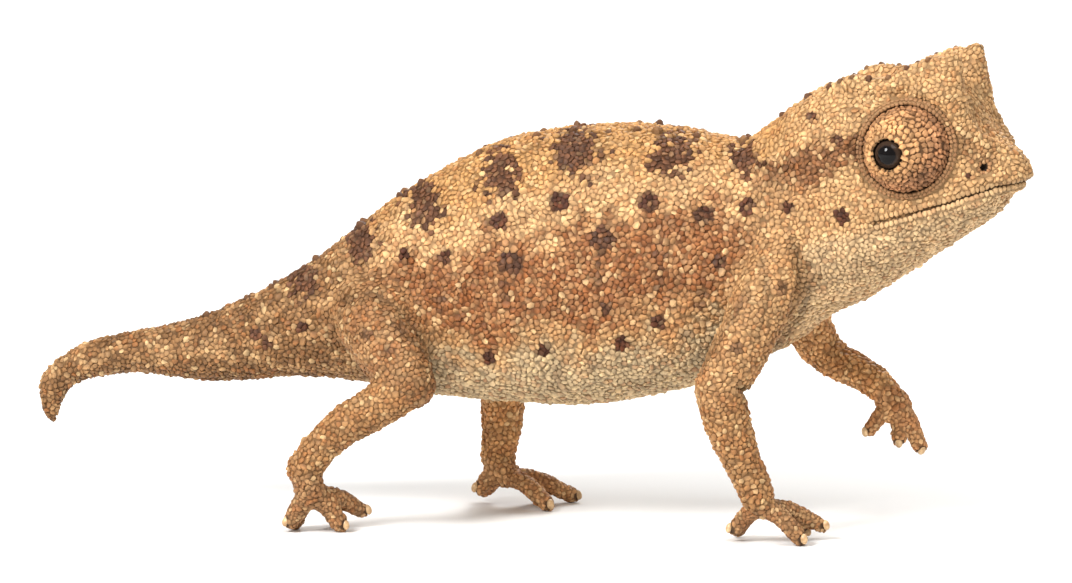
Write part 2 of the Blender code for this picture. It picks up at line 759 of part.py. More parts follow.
def joint_cut(upper, lower, upper_path, lower_path):
    """Parts two segments at the joint they share, one gap from face to face."""
    joint = Vector(lower_path[0][:3]) * MM
    before = Vector(upper_path[-2][:3]) * MM
    after = Vector(lower_path[1][:3]) * MM
    normal = ((joint - before).normalized() + (after - joint).normalized()).normalized()
    cut_by_plane(upper, joint - normal * 0.5 * PART_GAP, normal)
    cut_by_plane(lower, joint + normal * 0.5 * PART_GAP, -normal)


def toe_samples(palm, tip):
    """Centres and radii from the palm over the toe's arch to the point of its claw."""
    ahead = tip - palm
    stands = tip.z < 1.0 * MM
    if stands:
        ahead.z = 0.0
    ahead.normalize()
    knuckle = palm.lerp(tip, 0.5) + Vector((0.0, 0.0, TOE_ARCH))
    pad = palm.lerp(tip, 0.85) + Vector((0.0, 0.0, 0.3 * TOE_ARCH))
    claw = tip + ahead * CLAW_LENGTH
    claw.z -= CLAW_DROP
    claw_root = tip + ahead * 0.12 * MM
    return [
        (palm.lerp(knuckle, 0.3), TOE_ROOT_RADIUS),
        (knuckle, 0.98 * TOE_ROOT_RADIUS),
        (pad, TOE_PAD_RADIUS),
        (tip, 0.86 * TOE_PAD_RADIUS),
        (claw_root, CLAW_RADIUS),
        (claw, CLAW_TIP_RADIUS),
    ]


def make_extremity(name, limb_path, hand):
    """A hand or foot: the palm below the wrist and five toes in two opposed bundles."""
    wrist = Vector(limb_path[-1][:3]) * MM
    wrist_radius = limb_path[-1][3] * MM
    palm_radius = hand["palm"][3] * MM
    palm = Vector(hand["palm"][:3]) * MM
    before = Vector(limb_path[-2][:3]) * MM
    down = (wrist - before).normalized()
    solid = tube(name, [(wrist, 0.97 * wrist_radius), (palm, palm_radius)], 12)
    stub = [(wrist - down * 0.4 * MM, wrist_radius), (wrist, wrist_radius)]
    forms = [tube("stub", stub, 12)]
    for x, y, z in hand["toes"]:
        forms.append(tube("toe", toe_samples(palm, Vector((x, y, z)) * MM), 8, None, False))
    run_boolean(solid, "UNION", forms)
    cut_by_plane(solid, wrist + down * 0.5 * PART_GAP, -down)
    cut_by_plane(solid, Vector((0.0, 0.0, 0.0)), Vector((0.0, 0.0, -1.0)))
    return solid, wrist, down


def make_limb(word, upper_word, lower_word, end_word, upper_path, lower_path, hand):
    """A whole limb as three solids."""
    upper = limb_segment(word + upper_word, upper_path, 16, 6)
    lower = limb_segment(word + lower_word, lower_path, 14, 6)
    joint_cut(upper, lower, upper_path, lower_path)
    end, wrist, down = make_extremity(word + end_word, lower_path, hand)
    cut_by_plane(lower, wrist - down * 0.5 * PART_GAP, down)
    run_boolean(upper, "DIFFERENCE", [body_envelope()])
    return [upper, lower, end]


def make_limbs():
    """All four limbs."""
    solids = []
    solids += make_limb(
        "right_", "upper_arm", "forearm", "hand", RIGHT_ARM, RIGHT_FOREARM, RIGHT_HAND)
    solids += make_limb(
        "left_", "upper_arm", "forearm", "hand", LEFT_ARM, LEFT_FOREARM, LEFT_HAND)
    solids += make_limb(
        "right_", "thigh", "shank", "foot", RIGHT_THIGH, RIGHT_SHANK, RIGHT_FOOT)
    solids += make_limb(
        "left_", "thigh", "shank", "foot", LEFT_THIGH, LEFT_SHANK, LEFT_FOOT)
    return solids


def make_material(name, colour, roughness):
    """A plain material for a group of solids."""
    material = bpy.data.materials.new(name)
    material.use_nodes = True
    shader = material.node_tree.nodes["Principled BSDF"]
    shader.inputs["Base Color"].default_value = (*colour, 1.0)
    shader.inputs["Roughness"].default_value = roughness
    shader.inputs["Metallic"].default_value = 0.0
    return material


def main():
    for obj in list(bpy.data.objects):
        bpy.data.objects.remove(obj)
    trunk = make_trunk()
    head = make_head()
    eyes = make_eyes()
    limbs = make_limbs()
    skin = make_material("skin", SKIN_TAN, 0.7)
    limb_skin = make_material("limb_skin", SKIN_BROWN, 0.7)
    eye_gloss = make_material("eye_gloss", EYE_BROWN, 0.1)
    for solid in trunk + [head] + eyes:
        is_ball = solid.name.endswith("eyeball")
        solid.data.materials.append(eye_gloss if is_ball else skin)
    for solid in limbs:
        solid.data.materials.append(limb_skin)


main()
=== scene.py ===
"""Looks of the nano chameleon: one skin with its scales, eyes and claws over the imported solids.

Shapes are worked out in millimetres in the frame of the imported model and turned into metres
when a piece is made. +X points the way the animal walks, +Y to its left, +Z up.
"""

import math

import bpy
import numpy as np
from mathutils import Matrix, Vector, kdtree, noise
from mathutils.bvhtree import BVHTree


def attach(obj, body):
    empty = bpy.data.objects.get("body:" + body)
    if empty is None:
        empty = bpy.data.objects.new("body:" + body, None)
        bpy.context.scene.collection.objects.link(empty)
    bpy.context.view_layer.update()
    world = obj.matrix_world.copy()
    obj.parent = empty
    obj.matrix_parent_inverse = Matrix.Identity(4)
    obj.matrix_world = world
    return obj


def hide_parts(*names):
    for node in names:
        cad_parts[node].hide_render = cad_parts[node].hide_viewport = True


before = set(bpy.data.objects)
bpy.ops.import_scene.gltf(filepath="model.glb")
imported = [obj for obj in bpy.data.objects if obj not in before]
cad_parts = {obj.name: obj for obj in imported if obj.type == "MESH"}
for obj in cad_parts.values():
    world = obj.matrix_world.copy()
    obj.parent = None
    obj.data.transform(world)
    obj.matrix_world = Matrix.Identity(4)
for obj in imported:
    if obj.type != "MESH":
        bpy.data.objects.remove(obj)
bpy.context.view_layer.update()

MM = 0.001

# How far the skin lies inside the solids, which leaves room for the scales
COAT_DEPTH = 0.06

# The head turns to the animal's right, and the tail swings gently to its left
NECK_BEND_START = 5.4
NECK_BEND_LENGTH = 1.6
HEAD_TURN = math.radians(10.0)
TAIL_SWING_START = -4.0
TAIL_SWING_LENGTH = 9.6
TAIL_SWING = 0.7

# Points ahead of this belong to the head, where the neck is bent in full
HEAD_START = 8.0

# The body's sections from tail tip to snout, as in the solids: x and z of the back, x and z
# of the belly, half width, height of the widest level, squareness above and below it
SECTION_ROWS = np.array([
    (-13.50, 2.30, -13.26, 2.24, 0.13, 0.50, 2.0, 2.0),
    (-13.68, 2.58, -13.20, 2.45, 0.26, 0.50, 2.0, 2.0),
    (-13.77, 3.00, -13.08, 2.84, 0.38, 0.50, 2.0, 2.0),
    (-13.70, 3.54, -12.84, 3.24, 0.48, 0.50, 2.0, 2.0),
    (-13.24, 4.08, -12.42, 3.50, 0.56, 0.50, 2.0, 2.0),
    (-12.48, 4.56, -11.70, 3.66, 0.60, 0.50, 2.0, 2.0),
    (-11.22, 4.92, -10.78, 3.76, 0.64, 0.50, 2.0, 2.0),
    (-9.55, 5.33, -9.38, 3.64, 0.82, 0.50, 2.0, 2.0),
    (-8.15, 5.88, -7.86, 3.66, 1.00, 0.50, 2.0, 2.0),
    (-6.76, 6.66, -6.48, 3.84, 1.22, 0.49, 2.1, 2.0),
    (-5.50, 7.52, -5.23, 3.80, 1.45, 0.48, 2.1, 2.0),
    (-4.13, 8.64, -3.90, 3.62, 1.75, 0.46, 2.1, 2.0),
    (-2.60, 9.64, -2.50, 3.45, 2.12, 0.43, 2.1, 2.1),
    (-0.69, 10.56, -0.69, 3.34, 2.52, 0.41, 2.1, 2.1),
    (1.75, 11.02, 1.68, 3.34, 2.78, 0.40, 2.1, 2.1),
    (3.99, 11.00, 3.99, 3.78, 2.66, 0.41, 2.1, 2.1),
    (5.20, 10.80, 5.75, 4.45, 2.36, 0.43, 2.1, 2.1),
    (5.95, 10.78, 7.20, 5.20, 2.12, 0.44, 2.1, 2.1),
    (7.00, 11.58, 7.85, 5.70, 2.08, 0.43, 2.3, 2.1),
    (8.05, 12.28, 8.45, 6.10, 2.16, 0.40, 2.6, 2.1),
    (9.05, 12.52, 9.20, 6.46, 2.16, 0.38, 3.0, 2.1),
    (10.05, 12.58, 10.05, 7.00, 2.02, 0.36, 3.2, 2.2),
    (11.00, 12.62, 10.95, 7.60, 1.84, 0.36, 3.2, 2.2),
    (11.78, 12.74, 11.75, 8.12, 1.62, 0.36, 3.0, 2.2),
    (12.36, 12.20, 12.40, 8.54, 1.38, 0.38, 2.6, 2.2),
    (12.86, 11.45, 12.95, 8.92, 1.14, 0.40, 2.4, 2.2),
    (13.34, 11.00, 13.40, 9.30, 0.88, 0.42, 2.3, 2.2),
    (13.74, 10.72, 13.70, 9.62, 0.60, 0.46, 2.2, 2.2),
    (13.97, 10.46, 13.88, 9.90, 0.30, 0.50, 2.0, 2.0),
])
LAST_SECTION = len(SECTION_ROWS) - 1
TAIL_TIP = (-13.38, 0.0, 2.20)
SNOUT_TIP = (14.04, 0.0, 10.26)

# Crests of the head, each a path of (x, y, z, radius) on the right side
CRESTS = [
    [(8.46, 0.88, 12.16, 0.18), (8.86, 1.00, 12.36, 0.26), (9.40, 1.08, 12.54, 0.28),
     (10.15, 1.12, 12.50, 0.28), (10.90, 1.08, 12.80, 0.34), (11.62, 0.98, 13.08, 0.38)],
    [(11.62, 0.94, 12.16, 0.84), (11.80, 0.92, 12.72, 0.62), (11.96, 0.90, 13.06, 0.44),
     (12.08, 0.88, 13.30, 0.28)],
    [(12.14, 0.90, 13.12, 0.22), (12.24, 0.95, 12.40, 0.25), (12.34, 0.97, 11.84, 0.25),
     (12.72, 0.84, 11.28, 0.21), (13.20, 0.55, 10.98, 0.14)],
    [(12.12, 1.36, 11.62, 0.17), (12.55, 1.12, 11.26, 0.20), (13.05, 0.72, 10.90, 0.16)],
    [(9.86, 1.66, 11.10, 0.16), (9.30, 1.86, 11.02, 0.22), (8.66, 1.92, 10.82, 0.18),
     (7.90, 1.84, 10.50, 0.12)],
    [(11.92, 0.96, 12.72, 0.44), (12.02, 1.00, 12.28, 0.50), (12.14, 1.02, 11.86, 0.44)],
]

# Eyes: each turret turns about a sideways axis through this centre, with a profile of
# (distance out, radius), and its front is moved back and down to the pupil's place
EYE_CENTRE = (11.01, 0.95, 10.94)
TURRET_PROFILE = [
    (0.00, 1.06), (0.40, 1.145), (0.64, 1.15), (0.84, 1.10), (1.04, 1.00), (1.22, 0.87),
    (1.38, 0.73), (1.49, 0.61), (1.55, 0.52), (1.575, 0.475), (1.565, 0.45), (1.48, 0.435),
    (1.30, 0.425),
]
TURRET_DEPTH = 0.035
TURRET_ROW = 0.116
PUPIL_SHIFT = -0.25
PUPIL_DROP = 0.055
EYEBALL_DISTANCE = 1.14
EYEBALL_RADIUS = 0.50
ORBIT_RADIUS = 1.245
ORBIT_RIM = 0.10
ORBIT_RIM_Y = 1.58
SOCKET_RADIUS = 1.175
SOCKET_FLOOR = 0.30

# The ring round an eye leans with the side of the head, inwards to the front and the top
ORBIT_LEAN_FRONT = 0.22 / 1.36
ORBIT_LEAN_TOP = 0.18 / 1.36
CLEARING_RADIUS = 1.38
CLEARING_RISE = 0.92

# The mouth line on the right side, as (x, z), and its middle at the snout
MOUTH_LINE = [(10.20, 8.90), (11.10, 9.16), (12.10, 9.48), (13.00, 9.79), (13.60, 9.94)]
MOUTH_FRONT = (13.95, 10.02)
MOUTH_DEPTH = 0.13
JAW_SETBACK = 0.20

# Nostrils
NOSTRIL_CENTRE = (12.90, 0.80, 10.47)
NOSTRIL_OUT = (0.45, 1.0, 0.25)
NOSTRIL_RIM_RADIUS = 0.25
NOSTRIL_HOLE_RADIUS = 0.125
NOSTRIL_DROP = 0.09

# Limbs, each (x, y, z, radius) from inside the body to the wrist or ankle, then the palm
# (x, y, z, radius), the tips of the toes and the solids that the skin takes the place of
LIMBS = {
    "right_arm": {
        "upper": [(6.98, -1.30, 7.60, 0.98), (6.84, -2.20, 6.95, 0.96),
                  (6.24, -2.76, 5.60, 0.82), (5.62, -2.98, 4.30, 0.74)],
        "lower": [(5.62, -2.98, 4.30, 0.72), (5.80, -2.98, 3.40, 0.66),
                  (6.20, -2.86, 2.30, 0.55), (6.58, -2.70, 1.34, 0.49)],
        "palm": (6.70, -2.60, 1.02, 0.38),
        "toes": [(7.78, -2.66, 0.19), (8.16, -1.60, 0.40), (7.62, -1.50, 0.19),
                 (5.90, -2.30, 0.37), (5.84, -1.60, 0.24)],
        "nodes": ("right_upper_arm", "right_forearm", "right_hand"),
    },
    "left_arm": {
        "upper": [(6.85, 1.30, 7.50, 0.94), (6.80, 2.15, 6.85, 0.90),
                  (6.90, 2.72, 5.72, 0.74), (7.25, 2.95, 4.64, 0.64)],
        "lower": [(7.25, 2.95, 4.64, 0.61), (7.76, 2.85, 4.24, 0.54),
                  (8.74, 2.59, 3.83, 0.47), (9.12, 2.48, 3.55, 0.45)],
        "palm": (9.56, 2.38, 3.12, 0.42),
        "toes": [(10.12, 2.60, 2.00), (9.64, 2.16, 2.24), (9.97, 2.90, 2.22),
                 (8.83, 2.10, 2.49), (8.94, 2.50, 2.66)],
        "nodes": ("left_upper_arm", "left_forearm", "left_hand"),
    },
    "right_leg": {
        "upper": [(-4.20, -1.10, 5.90, 1.18), (-3.82, -1.95, 5.45, 1.14),
                  (-3.30, -2.72, 4.80, 0.92), (-2.86, -3.10, 4.20, 0.70)],
        "lower": [(-2.86, -3.10, 4.20, 0.66), (-3.86, -3.10, 3.54, 0.63),
                  (-4.97, -3.02, 2.81, 0.54), (-5.84, -2.92, 1.80, 0.51)],
        "palm": (-5.66, -2.85, 1.06, 0.40),
        "toes": [(-4.90, -2.46, 0.19), (-4.47, -1.50, 0.45), (-5.16, -1.50, 0.19),
                 (-6.24, -2.70, 0.28), (-6.24, -2.20, 0.19)],
        "nodes": ("right_thigh", "right_shank", "right_foot"),
    },
    "left_leg": {
        "upper": [(-4.10, 1.10, 5.90, 1.00), (-3.50, 2.05, 5.50, 0.94),
                  (-2.60, 2.80, 5.00, 0.80), (-1.70, 3.05, 4.62, 0.68)],
        "lower": [(-1.70, 3.05, 4.62, 0.70), (-1.48, 3.02, 3.60, 0.68),
                  (-1.40, 2.92, 2.40, 0.60), (-1.50, 2.80, 1.34, 0.49)],
        "palm": (-1.36, 2.78, 0.86, 0.40),
        "toes": [(-0.02, 2.08, 0.19), (0.39, 3.68, 0.19), (-0.44, 3.30, 0.19),
                 (-1.98, 2.66, 0.50), (-2.00, 3.40, 0.34)],
        "nodes": ("left_thigh", "left_shank", "left_foot"),
    },
}
TOE_ROOT_RADIUS = 0.27
TOE_PAD_RADIUS = 0.25
TOE_ARCH = 0.14
CLAW_BED = 0.160

# The skin's mesh
VOXEL = 0.078
SOLE_LIFT = 0.02
SMOOTH_ROUNDS = 4
BLEND_ROUNDS = 30

# Scales are tiles that meet their neighbours, each with its own radius
SCALE_SEED = 5
SCALE_SIDES = 6
BODY_RADIUS = 0.065
HEAD_RADIUS = 0.059
LIMB_RADIUS = 0.061
TOE_RADIUS = 0.050
BIG_SCALE_SHARE = 0.12
GROOVE = -0.006
SCALES_TRIED = 420.0
RELAX_ROUNDS = 5
LARGEST_PIECE = 4000
HEAD_PIECES_START = 7.2
TAIL_PIECES_END = -3.2
PATCH = 0.0015

# Rings of a scale from its sunken root up, as (share of its outline, share of its height, shade); the
# shade is painted, darker at the sunken root and lighter towards the top
SCALE_LEVELS = ((1.00, -0.60, 0.56), (0.90, 0.62, 0.90), (0.50, 0.96, 1.03))
# Painted highlight on each scale's tip, and painted light and shade on the sides that a scale's tilt
# raises and lowers
SCALE_TOP_SHADE = 1.04
EDGE_SHADE = 0.30
EDGE_RAGGED = 0.18
STRETCH = 0.24

# Tubercles in two rows along the back, as (straight x, size)
BACK_TUBERCLES = [
    (-9.05, 0.7), (-7.90, 0.8), (-7.15, 0.9), (-6.05, 1.0), (-4.79, 1.0), (-3.58, 1.0),
    (-3.08, 0.8), (-1.38, 0.9), (0.10, 0.7), (1.10, 0.9), (2.90, 0.8), (3.44, 1.0),
    (4.60, 0.7), (5.75, 1.0), (6.90, 0.9), (7.75, 0.8), (8.50, 0.9),
]
BACK_ROW_TURN = math.radians(8.0)
TUBERCLE_RADIUS = 0.165
TUBERCLE_HEIGHT = 0.155
BEAD_RADIUS = 0.074
BEAD_HEIGHT = 0.062

# A row of scales above and below the mouth, and two rows on the ring round an eye, each
# (its radius past the ring's, how far outside the ring's middle)
LIP_LIFT = 0.122
LIP_STEP = 0.135
LIP_RADIUS = 0.082
LIP_HEIGHT = 0.050
RIM_ROWS = ((0.002, 0.14), (0.085, 0.05))
RIM_COUNT = 66
RIM_RADIUS = 0.058
RIM_HEIGHT = 0.045


def linear(red, green, blue):
    """A colour given as red, green and blue from 0 to 255, in linear light."""
    shares = np.array([red, green, blue]) / 255.0
    return np.where(shares <= 0.04045, shares / 12.92, ((shares + 0.055) / 1.055) ** 2.4)


# Colours of skin and scales
BACK_TAN = linear(196, 146, 90)
PALE_BAND = linear(214, 168, 116)
RUST = linear(147, 90, 49)
BELLY_TAN = linear(200, 152, 100)
BELLY_OLIVE = linear(203, 175, 134)
HEAD_TAN = linear(210, 164, 112)
THROAT = linear(218, 182, 136)
LIMB_TAN = linear(176, 128, 80)
UPPER_ARM_TAN = linear(196, 148, 98)
THIGH_TAN = linear(158, 114, 72)
TAIL_TAN = linear(139, 99, 60)
FOOT_BROWN = linear(164, 120, 80)
BLOTCH_BROWN = linear(92, 58, 36)
BAND_BROWN = linear(126, 80, 46)
TURRET_LIGHT = linear(190, 142, 94)
TURRET_BROWN = linear(154, 108, 73)
TUBERCLE_BROWN = linear(96, 62, 38)
LIP_TAN = linear(222, 186, 140)
RIM_TAN = linear(142, 101, 67)
SCALE_LIGHT = linear(240, 206, 152)
SCALE_WARM = linear(150, 92, 48)
# Painted shade: a dark colour laid on the mouth line, the eye sockets, the nostril holes, round the
# claws' roots and at the turrets' hidden ends
GROOVE_SHADE = linear(40, 26, 17)
# Painted shade: the share of its colour that the skin keeps, darker than the scales over it, for the
# shade in the gaps between them
SKIN_SHADE = 0.58

# The eye's colours in linear light, as (share of the ramp's radius, colour), pupil first
EYE_RAMP_RADIUS = 0.42
EYE_STOPS = (
    (0.00, (0.004, 0.003, 0.003)), (1.00, (0.006, 0.004, 0.003)),
    (0.58, (0.004, 0.003, 0.003)), (0.66, (0.030, 0.017, 0.011)),
    (0.84, (0.052, 0.030, 0.019)), (0.95, (0.008, 0.005, 0.004)),
)

# Where the animal lies in the picture, which is seen from its right side
VIEW_TURN = math.radians(10.0)
VIEW_LIFT = math.radians(9.0)
MM_PER_PIXEL = 0.0271
ORIGIN_PIXEL = (535.0, 523.0)
IMAGE_WIDTH, IMAGE_HEIGHT = 1072, 583
CAMERA_DISTANCE = 80.0

# The studio in metres: the floor, and lamps as (name, place, diameter, power)
FLOOR_SIZE = 3.0
LAMPS = (
    ("key", (0.050, -0.050, 0.110), 0.080, 0.075),
    ("glint", (-0.042, -0.080, 0.074), 0.038, 0.155),
    ("rim", (0.010, 0.090, 0.070), 0.050, 0.065),
)
LAMP_TARGET = (0.0, 0.0, 0.007)

# Markings by their place in the picture: blotches as (across, down, half width, half
# height), spots as (across, down, radius), flank lines as (across, top, bottom), bands as paths
BACK_BLOTCHES = [
    (304, 280, 11, 15), (361, 240, 13, 18), (424, 204, 16, 22), (501, 174, 17, 22),
    (577, 151, 20, 23), (670, 155, 18, 19), (745, 160, 12, 17),
]
SMALL_SPOTS = [
    (405, 255, 6), (444, 256, 7), (499, 222, 8), (560, 202, 9), (649, 202, 9), (704, 216, 9),
    (748, 207, 8), (788, 206, 6), (511, 262, 11), (602, 237, 12), (719, 262, 7), (738, 294, 7),
    (606, 309, 6), (659, 322, 7), (622, 343, 7), (543, 351, 7), (489, 357, 7), (303, 327, 6),
    (255, 334, 6), (267, 343, 5), (842, 217, 7), (813, 116, 5), (838, 140, 5), (970, 176, 3),
]
FAINT_SPOTS = [(685, 337, 7), (592, 362, 7), (559, 376, 6), (597, 276, 6), (455, 365, 6)]
LIMB_SPOTS = [(736, 347, 6), (780, 288, 7), (389, 350, 5), (367, 335, 5)]
FLANK_LINES = [(659, 237, 292), (597, 250, 280), (505, 275, 303), (440, 290, 318), (700, 285, 312)]
TEMPLE_BAND = [(860, 146), (838, 152), (815, 165), (795, 176), (772, 188)]
CANTHAL_BAND = [(952, 132), (970, 148), (988, 158)]
NECK_RUST = [(720, 250), (758, 225), (800, 200)]

# Lower edges of the pale band, the rusty flank and the jaw, and lines of painted shade along the folds
# and edges of the limbs
PALE_EDGE = [(330, 285), (400, 262), (450, 256), (500, 240), (550, 234), (600, 220), (650, 210),
             (740, 200)]
RUST_EDGE = [(330, 325), (400, 332), (500, 336), (600, 326), (660, 318), (720, 298), (760, 280)]
JAW_EDGE = [(760, 245), (885, 222), (1030, 176)]
FOLD_SHADE_LINES = [
    ((392, 322), (412, 340), (430, 364), (437, 388)), ((702, 372), (716, 345), (735, 316), (748, 290)),
    ((809, 262), (808, 290), (797, 320), (776, 347)), ((744, 387), (750, 408)),
    ((762, 262), (768, 300), (758, 335)), ((330, 390), (352, 402)),
]


def round_angles(count):
    """Evenly spaced angles round a circle."""
    return np.linspace(0.0, math.tau, count, endpoint=False)


def unit_rows(rows):
    """Rows of vectors, each brought to a length of one."""
    return rows / np.linalg.norm(rows, axis=1, keepdims=True)


def lengths_along(points):
    """Each point's distance from the first one, along the line."""
    steps = np.linalg.norm(np.diff(points, axis=0), axis=1)
    return np.concatenate([[0.0], np.cumsum(steps)])


def tail_shift(x):
    """How far to the left the tail swings at each x."""
    return TAIL_SWING * (np.maximum(TAIL_SWING_START - x, 0.0) / TAIL_SWING_LENGTH) ** 2


def curve_values(rows, positions):
    """Catmull-Rom values at positions along rows of numbers."""
    rows = np.asarray(rows, dtype=float)
    last = len(rows) - 1
    positions = np.clip(np.asarray(positions, dtype=float), 0.0, last)
    start = np.minimum(positions.astype(int), last - 1)
    t = (positions - start)[:, None]
    p0 = rows[np.maximum(start - 1, 0)]
    p1 = rows[start]
    p2 = rows[start + 1]
    p3 = rows[np.minimum(start + 2, last)]
    bend = 2.0 * p0 - 5.0 * p1 + 4.0 * p2 - p3
    sway = -p0 + 3.0 * p1 - 3.0 * p2 + p3
    return 0.5 * (2.0 * p1 + (p2 - p0) * t + bend * t * t + sway * t ** 3)


def bent(points):
    """Places of points after the neck and tail are bent."""
    points = np.array(points, dtype=float)
    x, y = points[:, 0], points[:, 1]
    along = np.clip(x - NECK_BEND_START, 0.0, NECK_BEND_LENGTH)
    beyond = np.maximum(x - NECK_BEND_START - NECK_BEND_LENGTH, 0.0)
    turned = HEAD_TURN * along / NECK_BEND_LENGTH
    radius = NECK_BEND_LENGTH / HEAD_TURN
    axis_x = np.minimum(x, NECK_BEND_START) + radius * np.sin(turned) + beyond * np.cos(turned)
    axis_y = -radius * (1.0 - np.cos(turned)) - beyond * np.sin(turned)
    swing = tail_shift(x)
    points[:, 0] = axis_x + y * np.sin(turned)
    points[:, 1] = axis_y + y * np.cos(turned) + swing
    return points


def unbent(points):
    """Places of points of the head before the neck was bent."""
    points = np.array(points, dtype=float)
    radius = NECK_BEND_LENGTH / HEAD_TURN
    cosine, sine = math.cos(HEAD_TURN), math.sin(HEAD_TURN)
    ahead_x = points[:, 0] - (NECK_BEND_START + radius * sine)
    ahead_y = points[:, 1] + radius * (1.0 - cosine)
    points[:, 0] = NECK_BEND_START + NECK_BEND_LENGTH + ahead_x * cosine - ahead_y * sine
    points[:, 1] = ahead_x * sine + ahead_y * cosine
    return points


def picture_place(points):
    """Where points of the right side lie in the picture, or the left side's mirror images."""
    head = points[:, :1] > 7.0
    axis = tail_shift(points[:, 0])
    straight = unbent(points)
    straight[:, 1] = -np.abs(straight[:, 1])
    mirror = points.copy()
    mirror[:, 1] = axis - np.abs(points[:, 1] - axis)
    x, y, z = np.where(head, bent(straight), mirror).T
    across = x * math.cos(VIEW_TURN) + y * math.sin(VIEW_TURN)
    deep = y * math.cos(VIEW_TURN) - x * math.sin(VIEW_TURN)
    up = deep * math.sin(VIEW_LIFT) + z * math.cos(VIEW_LIFT)
    return np.column_stack([ORIGIN_PIXEL[0] + across / MM_PER_PIXEL,
                            ORIGIN_PIXEL[1] - up / MM_PER_PIXEL])


def straight_body(positions, turns, grow=0.0):
    """Points of the skin before bending; turn is 0 on the back and a quarter on the left."""
    rows = curve_values(SECTION_ROWS, positions)
    back = rows[:, [0, 1]]
    belly = rows[:, [2, 3]]
    level = rows[:, 5:6]
    centre = belly + (back - belly) * level
    upper = np.cos(turns) >= 0.0
    reach = np.where(upper[:, None], back, belly) - centre
    length = np.linalg.norm(reach, axis=1, keepdims=True)
    reach = reach * (1.0 + grow / length)
    squareness = np.where(upper, rows[:, 6], rows[:, 7])
    lift = np.abs(np.cos(turns)) ** (2.0 / squareness)
    side = np.sign(np.sin(turns)) * np.abs(np.sin(turns)) ** (2.0 / squareness)
    flat = centre + reach * lift[:, None]
    return np.column_stack([flat[:, 0], (rows[:, 4] + grow) * side, flat[:, 1]])


def body_points(positions, turns, grow=0.0):
    """Points of the skin in their places."""
    return bent(straight_body(np.asarray(positions), np.asarray(turns), grow))


def bands(count, around, closed=False, flipped=False):
    """Faces from ring to ring of points, and from the last ring to the first if closed."""
    faces = []
    for i in range(count if closed else count - 1):
        low, high = i * around, (i + 1) % count * around
        for j in range(around):
            k = (j + 1) % around
            if flipped:
                faces.append((low + j, high + j, high + k, low + k))
            else:
                faces.append((low + j, low + k, high + k, high + j))
    return faces


def closed_grid(rings, first_tip, last_tip):
    """Vertices and faces of a closed surface through rings, with a point at each end."""
    rings = np.asarray(rings)
    count, around, _ = rings.shape
    verts = np.vstack([rings.reshape(-1, 3), [first_tip], [last_tip]])
    faces = bands(count, around)
    first, top = count * around, (count - 1) * around
    for j in range(around):
        k = (j + 1) % around
        faces.append((k, j, first))
        faces.append((top + j, top + k, first + 1))
    return verts, faces


def join_parts(parts):
    """One list of vertices and one of faces from several."""
    verts = []
    faces = []
    start = 0
    for part_verts, part_faces in parts:
        verts.append(part_verts)
        faces.extend(tuple(index + start for index in face) for face in part_faces)
        start += len(part_verts)
    return np.vstack(verts), faces


def frames_along(centres):
    """Directions and two cross directions at each point of a path."""
    ahead = np.vstack([centres[1:], centres[-1:]])
    behind = np.vstack([centres[:1], centres[:-1]])
    direction = unit_rows(ahead - behind)
    guide = np.array([0.13, 0.21, 0.97])
    if abs(direction[0] @ guide) > 0.9:
        guide = np.array([0.97, 0.2, 0.1])
    side = unit_rows(np.cross(direction, guide))
    return direction, side, np.cross(direction, side)


def tube(path, steps, around, shrink=COAT_DEPTH, move=None):
    """A closed round tube with domed ends along a path of (x, y, z, radius)."""
    samples = curve_values(path, np.linspace(0.0, len(path) - 1.0, steps))
    centres = samples[:, :3]
    radii = np.maximum(samples[:, 3] - shrink, 0.03)
    direction, side, up = frames_along(centres)
    angles = round_angles(around)
    circle = np.cos(angles)[:, None, None] * side + np.sin(angles)[:, None, None] * up
    rings = [centres[i] + circle[:, i] * radii[i] for i in range(len(centres))]
    for share in (0.35, 0.7, 0.92):
        width = math.sqrt(1.0 - share ** 2)
        first = centres[0] - direction[0] * radii[0] * share
        last = centres[-1] + direction[-1] * radii[-1] * share
        rings.insert(0, first + circle[:, 0] * radii[0] * width)
        rings.append(last + circle[:, -1] * radii[-1] * width)
    first_tip = centres[0] - direction[0] * radii[0]
    last_tip = centres[-1] + direction[-1] * radii[-1]
    rings = np.array(rings)
    if move is not None:
        shape = rings.shape
        rings = move(rings.reshape(-1, 3)).reshape(shape)
        first_tip, last_tip = move(np.array([first_tip, last_tip]))
    return closed_grid(rings, first_tip, last_tip)


def mirrored(path, side):
    """A path of the right side, or its mirror image for the left."""
    return [(x, side * y, z, *rest) for x, y, z, *rest in path]


def toe_path(palm, tip):
    """The path of a toe from inside the palm to its rounded end."""
    palm = np.array(palm[:3])
    tip = np.array(tip)
    knuckle = (palm + tip) / 2.0 + (0.0, 0.0, TOE_ARCH)
    pad = palm + (tip - palm) * 0.85 + (0.0, 0.0, 0.3 * TOE_ARCH)
    root = palm + (knuckle - palm) * 0.3
    return [
        (*root, TOE_ROOT_RADIUS), (*knuckle, 0.98 * TOE_ROOT_RADIUS),
        (*pad, TOE_PAD_RADIUS), (*tip, 0.92 * TOE_PAD_RADIUS),
    ]


def toe_direction(palm, tip):
    """The way a toe points: level where it stands on the floor."""
    ahead = np.array(tip) - np.array(palm[:3])
    if tip[2] < 1.0:
        ahead[2] = 0.0
    return ahead / np.linalg.norm(ahead)


def body_surface():
    """The trunk from tail tip to snout as one closed surface."""
    steps, around = 300, 96
    rings = []
    for position in np.linspace(0.0, LAST_SECTION, steps):
        rings.append(body_points(np.full(around, position), round_angles(around), -COAT_DEPTH))
    return closed_grid(rings, *bent([TAIL_TIP, SNOUT_TIP]))


def orbit_plane(ahead, up):
    """How far out an eye's ring lies at an offset from the eye's axis."""
    return ORBIT_RIM_Y - ORBIT_LEAN_FRONT * ahead - ORBIT_LEAN_TOP * up


